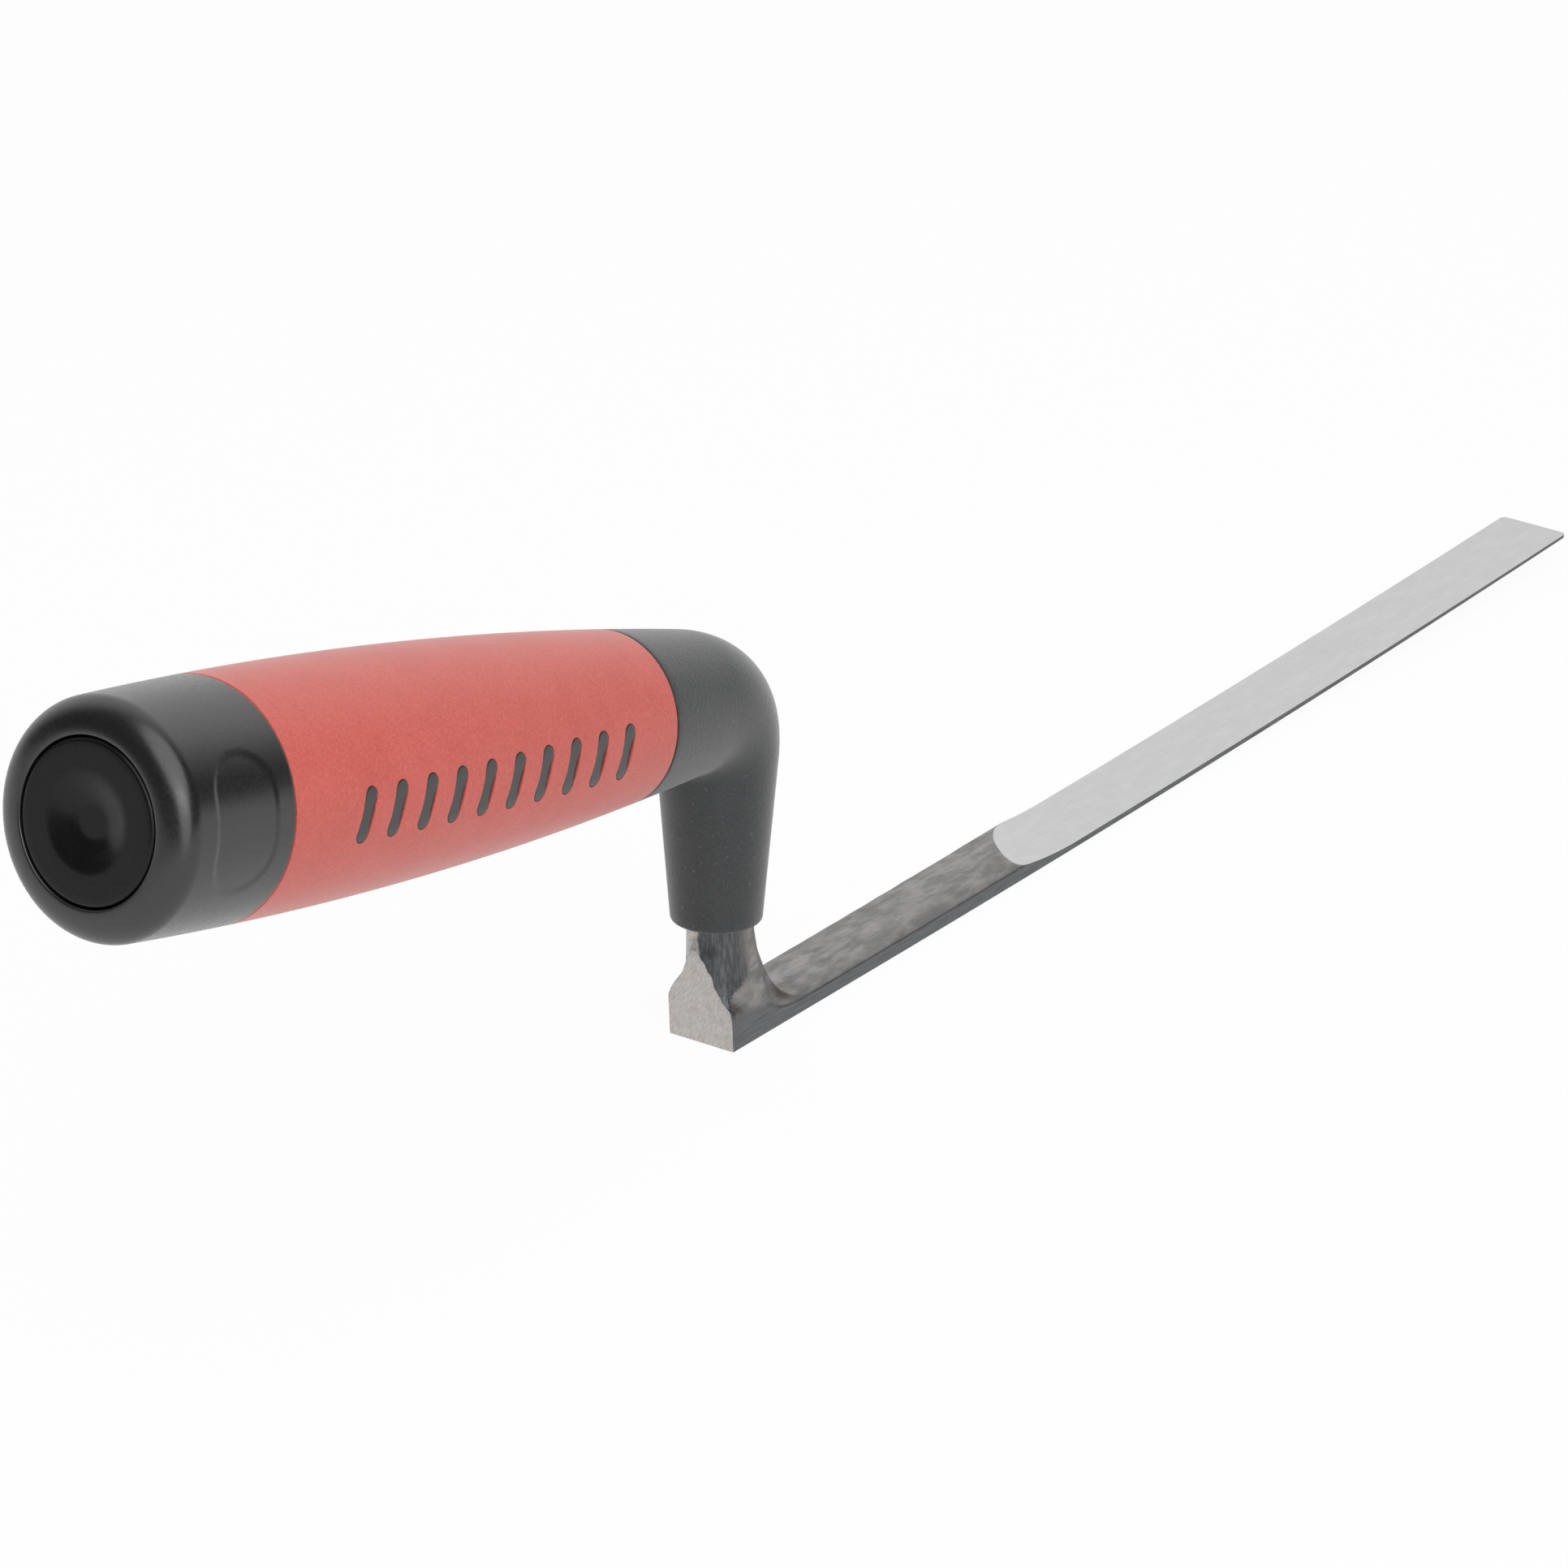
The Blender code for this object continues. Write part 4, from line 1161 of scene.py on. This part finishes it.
def make_plug():
    radius = PLUG_BORE_RADIUS - PLUG_GROOVE
    deep = HANDLE_END - PLUG_LENGTH
    inside = radius - PLUG_WALL
    floor = HANDLE_END - DISH_DEPTH - PLUG_WALL
    profile = []
    for reach in spread(0, DISH_RADIUS, 40):
        depth = DISH_DEPTH * ramp(reach, DISH_RADIUS, DISH_FLOOR_RADIUS)
        profile.append((reach, HANDLE_END - depth))
    profile += [(reach, HANDLE_END) for reach in spread(DISH_RADIUS, radius - PLUG_ROUNDING, 4)[1:-1]]
    profile += arc((radius - PLUG_ROUNDING, HANDLE_END - PLUG_ROUNDING), PLUG_ROUNDING, 90, 0, 8)
    profile += [(radius, deep), (inside, deep), (inside, floor), (0, floor)]
    finish = satin_finish("plug_black", (0.005, 0.0051, 0.0053), (0.007, 0.0072, 0.0075), 0.27, specular=0.26)
    add_piece("plug", new_mesh("plug", *turned(profile)), "end_plug", [finish])


# Studio and camera

def add_lamp(name, place, width, watts):
    light = bpy.data.lights.new(name, "AREA")
    light.shape = "DISK"
    light.size = width * MM
    light.energy = watts
    lamp = new_object(name, light)
    lamp.location = place * MM
    lamp.rotation_euler = (LAMP_TARGET - place).to_track_quat("-Z", "Y").to_euler()


def make_world():
    """Soft surroundings, bright above and on the side that the camera looks towards."""
    world = bpy.data.worlds.new("studio")
    world.use_nodes = True
    bpy.context.scene.world = world
    nodes = Nodes(world.node_tree)
    along = nodes.add("ShaderNodeVectorMath", operation="DOT_PRODUCT")
    along.inputs[1].default_value = BRIGHT_SIDE.normalized()
    nodes.feed(along.inputs[0], nodes.add("ShaderNodeTexCoord").outputs["Generated"])
    background = nodes.tree.nodes["Background"].inputs
    nodes.feed(background["Color"], (1, 1, 1))
    level = nodes.band(along.outputs["Value"], *BRIGHT_RANGE, DARK_LEVEL, BRIGHT_LEVEL)
    nodes.feed(background["Strength"], level)


def make_floor():
    """A pale floor that shows almost white and keeps a faint shadow."""
    corners = [Vector((x * FLOOR_HALF, y * FLOOR_HALF, -FLOOR_DROP)) for x, y in
               ((-1, -1), (1, -1), (1, 1), (-1, 1))]
    mesh = bpy.data.meshes.new("floor")
    mesh.from_pydata([corner * MM for corner in corners], [], [(0, 1, 2, 3)])
    material = bpy.data.materials.new("floor_white")
    material.use_nodes = True
    nodes = Nodes(material.node_tree)
    nodes.tree.nodes.clear()
    matte = nodes.add("ShaderNodeBsdfDiffuse")
    nodes.feed(matte.inputs["Color"], (FLOOR_GREY, FLOOR_GREY, FLOOR_GREY))
    glow = nodes.add("ShaderNodeEmission")
    nodes.feed(glow.inputs["Color"], (1, 1, 1))
    rays = nodes.add("ShaderNodeLightPath").outputs
    seen = rays["Is Camera Ray"]
    for name in ("Is Glossy Ray", "Is Transmission Ray"):
        seen = nodes.math("MAXIMUM", seen, rays[name])
    both = nodes.add("ShaderNodeMixShader")
    nodes.feed(both.inputs["Fac"], nodes.math("MULTIPLY", seen, FLOOR_WHITE))
    nodes.feed(both.inputs[1], matte.outputs["BSDF"])
    nodes.feed(both.inputs[2], glow.outputs["Emission"])
    nodes.feed(nodes.add("ShaderNodeOutputMaterial").inputs["Surface"], both.outputs["Shader"])
    mesh.materials.append(material)
    new_object("floor", mesh)


def make_camera():
    level = math.cos(CAMERA_PITCH)
    forward = Vector((math.cos(CAMERA_YAW) * level, math.sin(CAMERA_YAW) * level, -math.sin(CAMERA_PITCH)))
    level_right = forward.cross(Vector((0, 0, 1))).normalized()
    level_up = level_right.cross(forward)
    right = level_right * math.cos(CAMERA_ROLL) + level_up * math.sin(CAMERA_ROLL)
    up = level_up * math.cos(CAMERA_ROLL) - level_right * math.sin(CAMERA_ROLL)
    data = bpy.data.cameras.new("camera")
    data.sensor_width = SENSOR
    data.sensor_height = SENSOR
    data.lens = FOCAL_PIXELS / IMAGE_SIZE * SENSOR
    data.clip_end = CLIP_END
    camera = new_object("camera", data)
    turn = Matrix((right, up, -forward)).transposed().to_4x4()
    camera.matrix_world = Matrix.Translation(CAMERA_PLACE * MM) @ turn
    bpy.context.scene.camera = camera


# Build

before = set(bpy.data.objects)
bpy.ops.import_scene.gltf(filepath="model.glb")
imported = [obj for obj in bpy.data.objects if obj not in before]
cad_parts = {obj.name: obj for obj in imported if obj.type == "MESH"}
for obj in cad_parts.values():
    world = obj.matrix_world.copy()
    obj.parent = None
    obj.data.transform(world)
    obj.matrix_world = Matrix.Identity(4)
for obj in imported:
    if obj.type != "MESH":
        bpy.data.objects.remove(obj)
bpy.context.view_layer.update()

make_camera()
make_forging()
make_boot()
make_core()
make_sleeve()
make_plug()
ZINC = zinc_finish()
for hidden_node in ("tang_washer", "tang_nut"):
    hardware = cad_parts[hidden_node]
    hardware.data.materials.clear()
    hardware.data.materials.append(ZINC)

make_world()
make_floor()
for lamp_values in LAMPS:
    add_lamp(*lamp_values)
bpy.context.scene.view_settings.view_transform = "Standard"
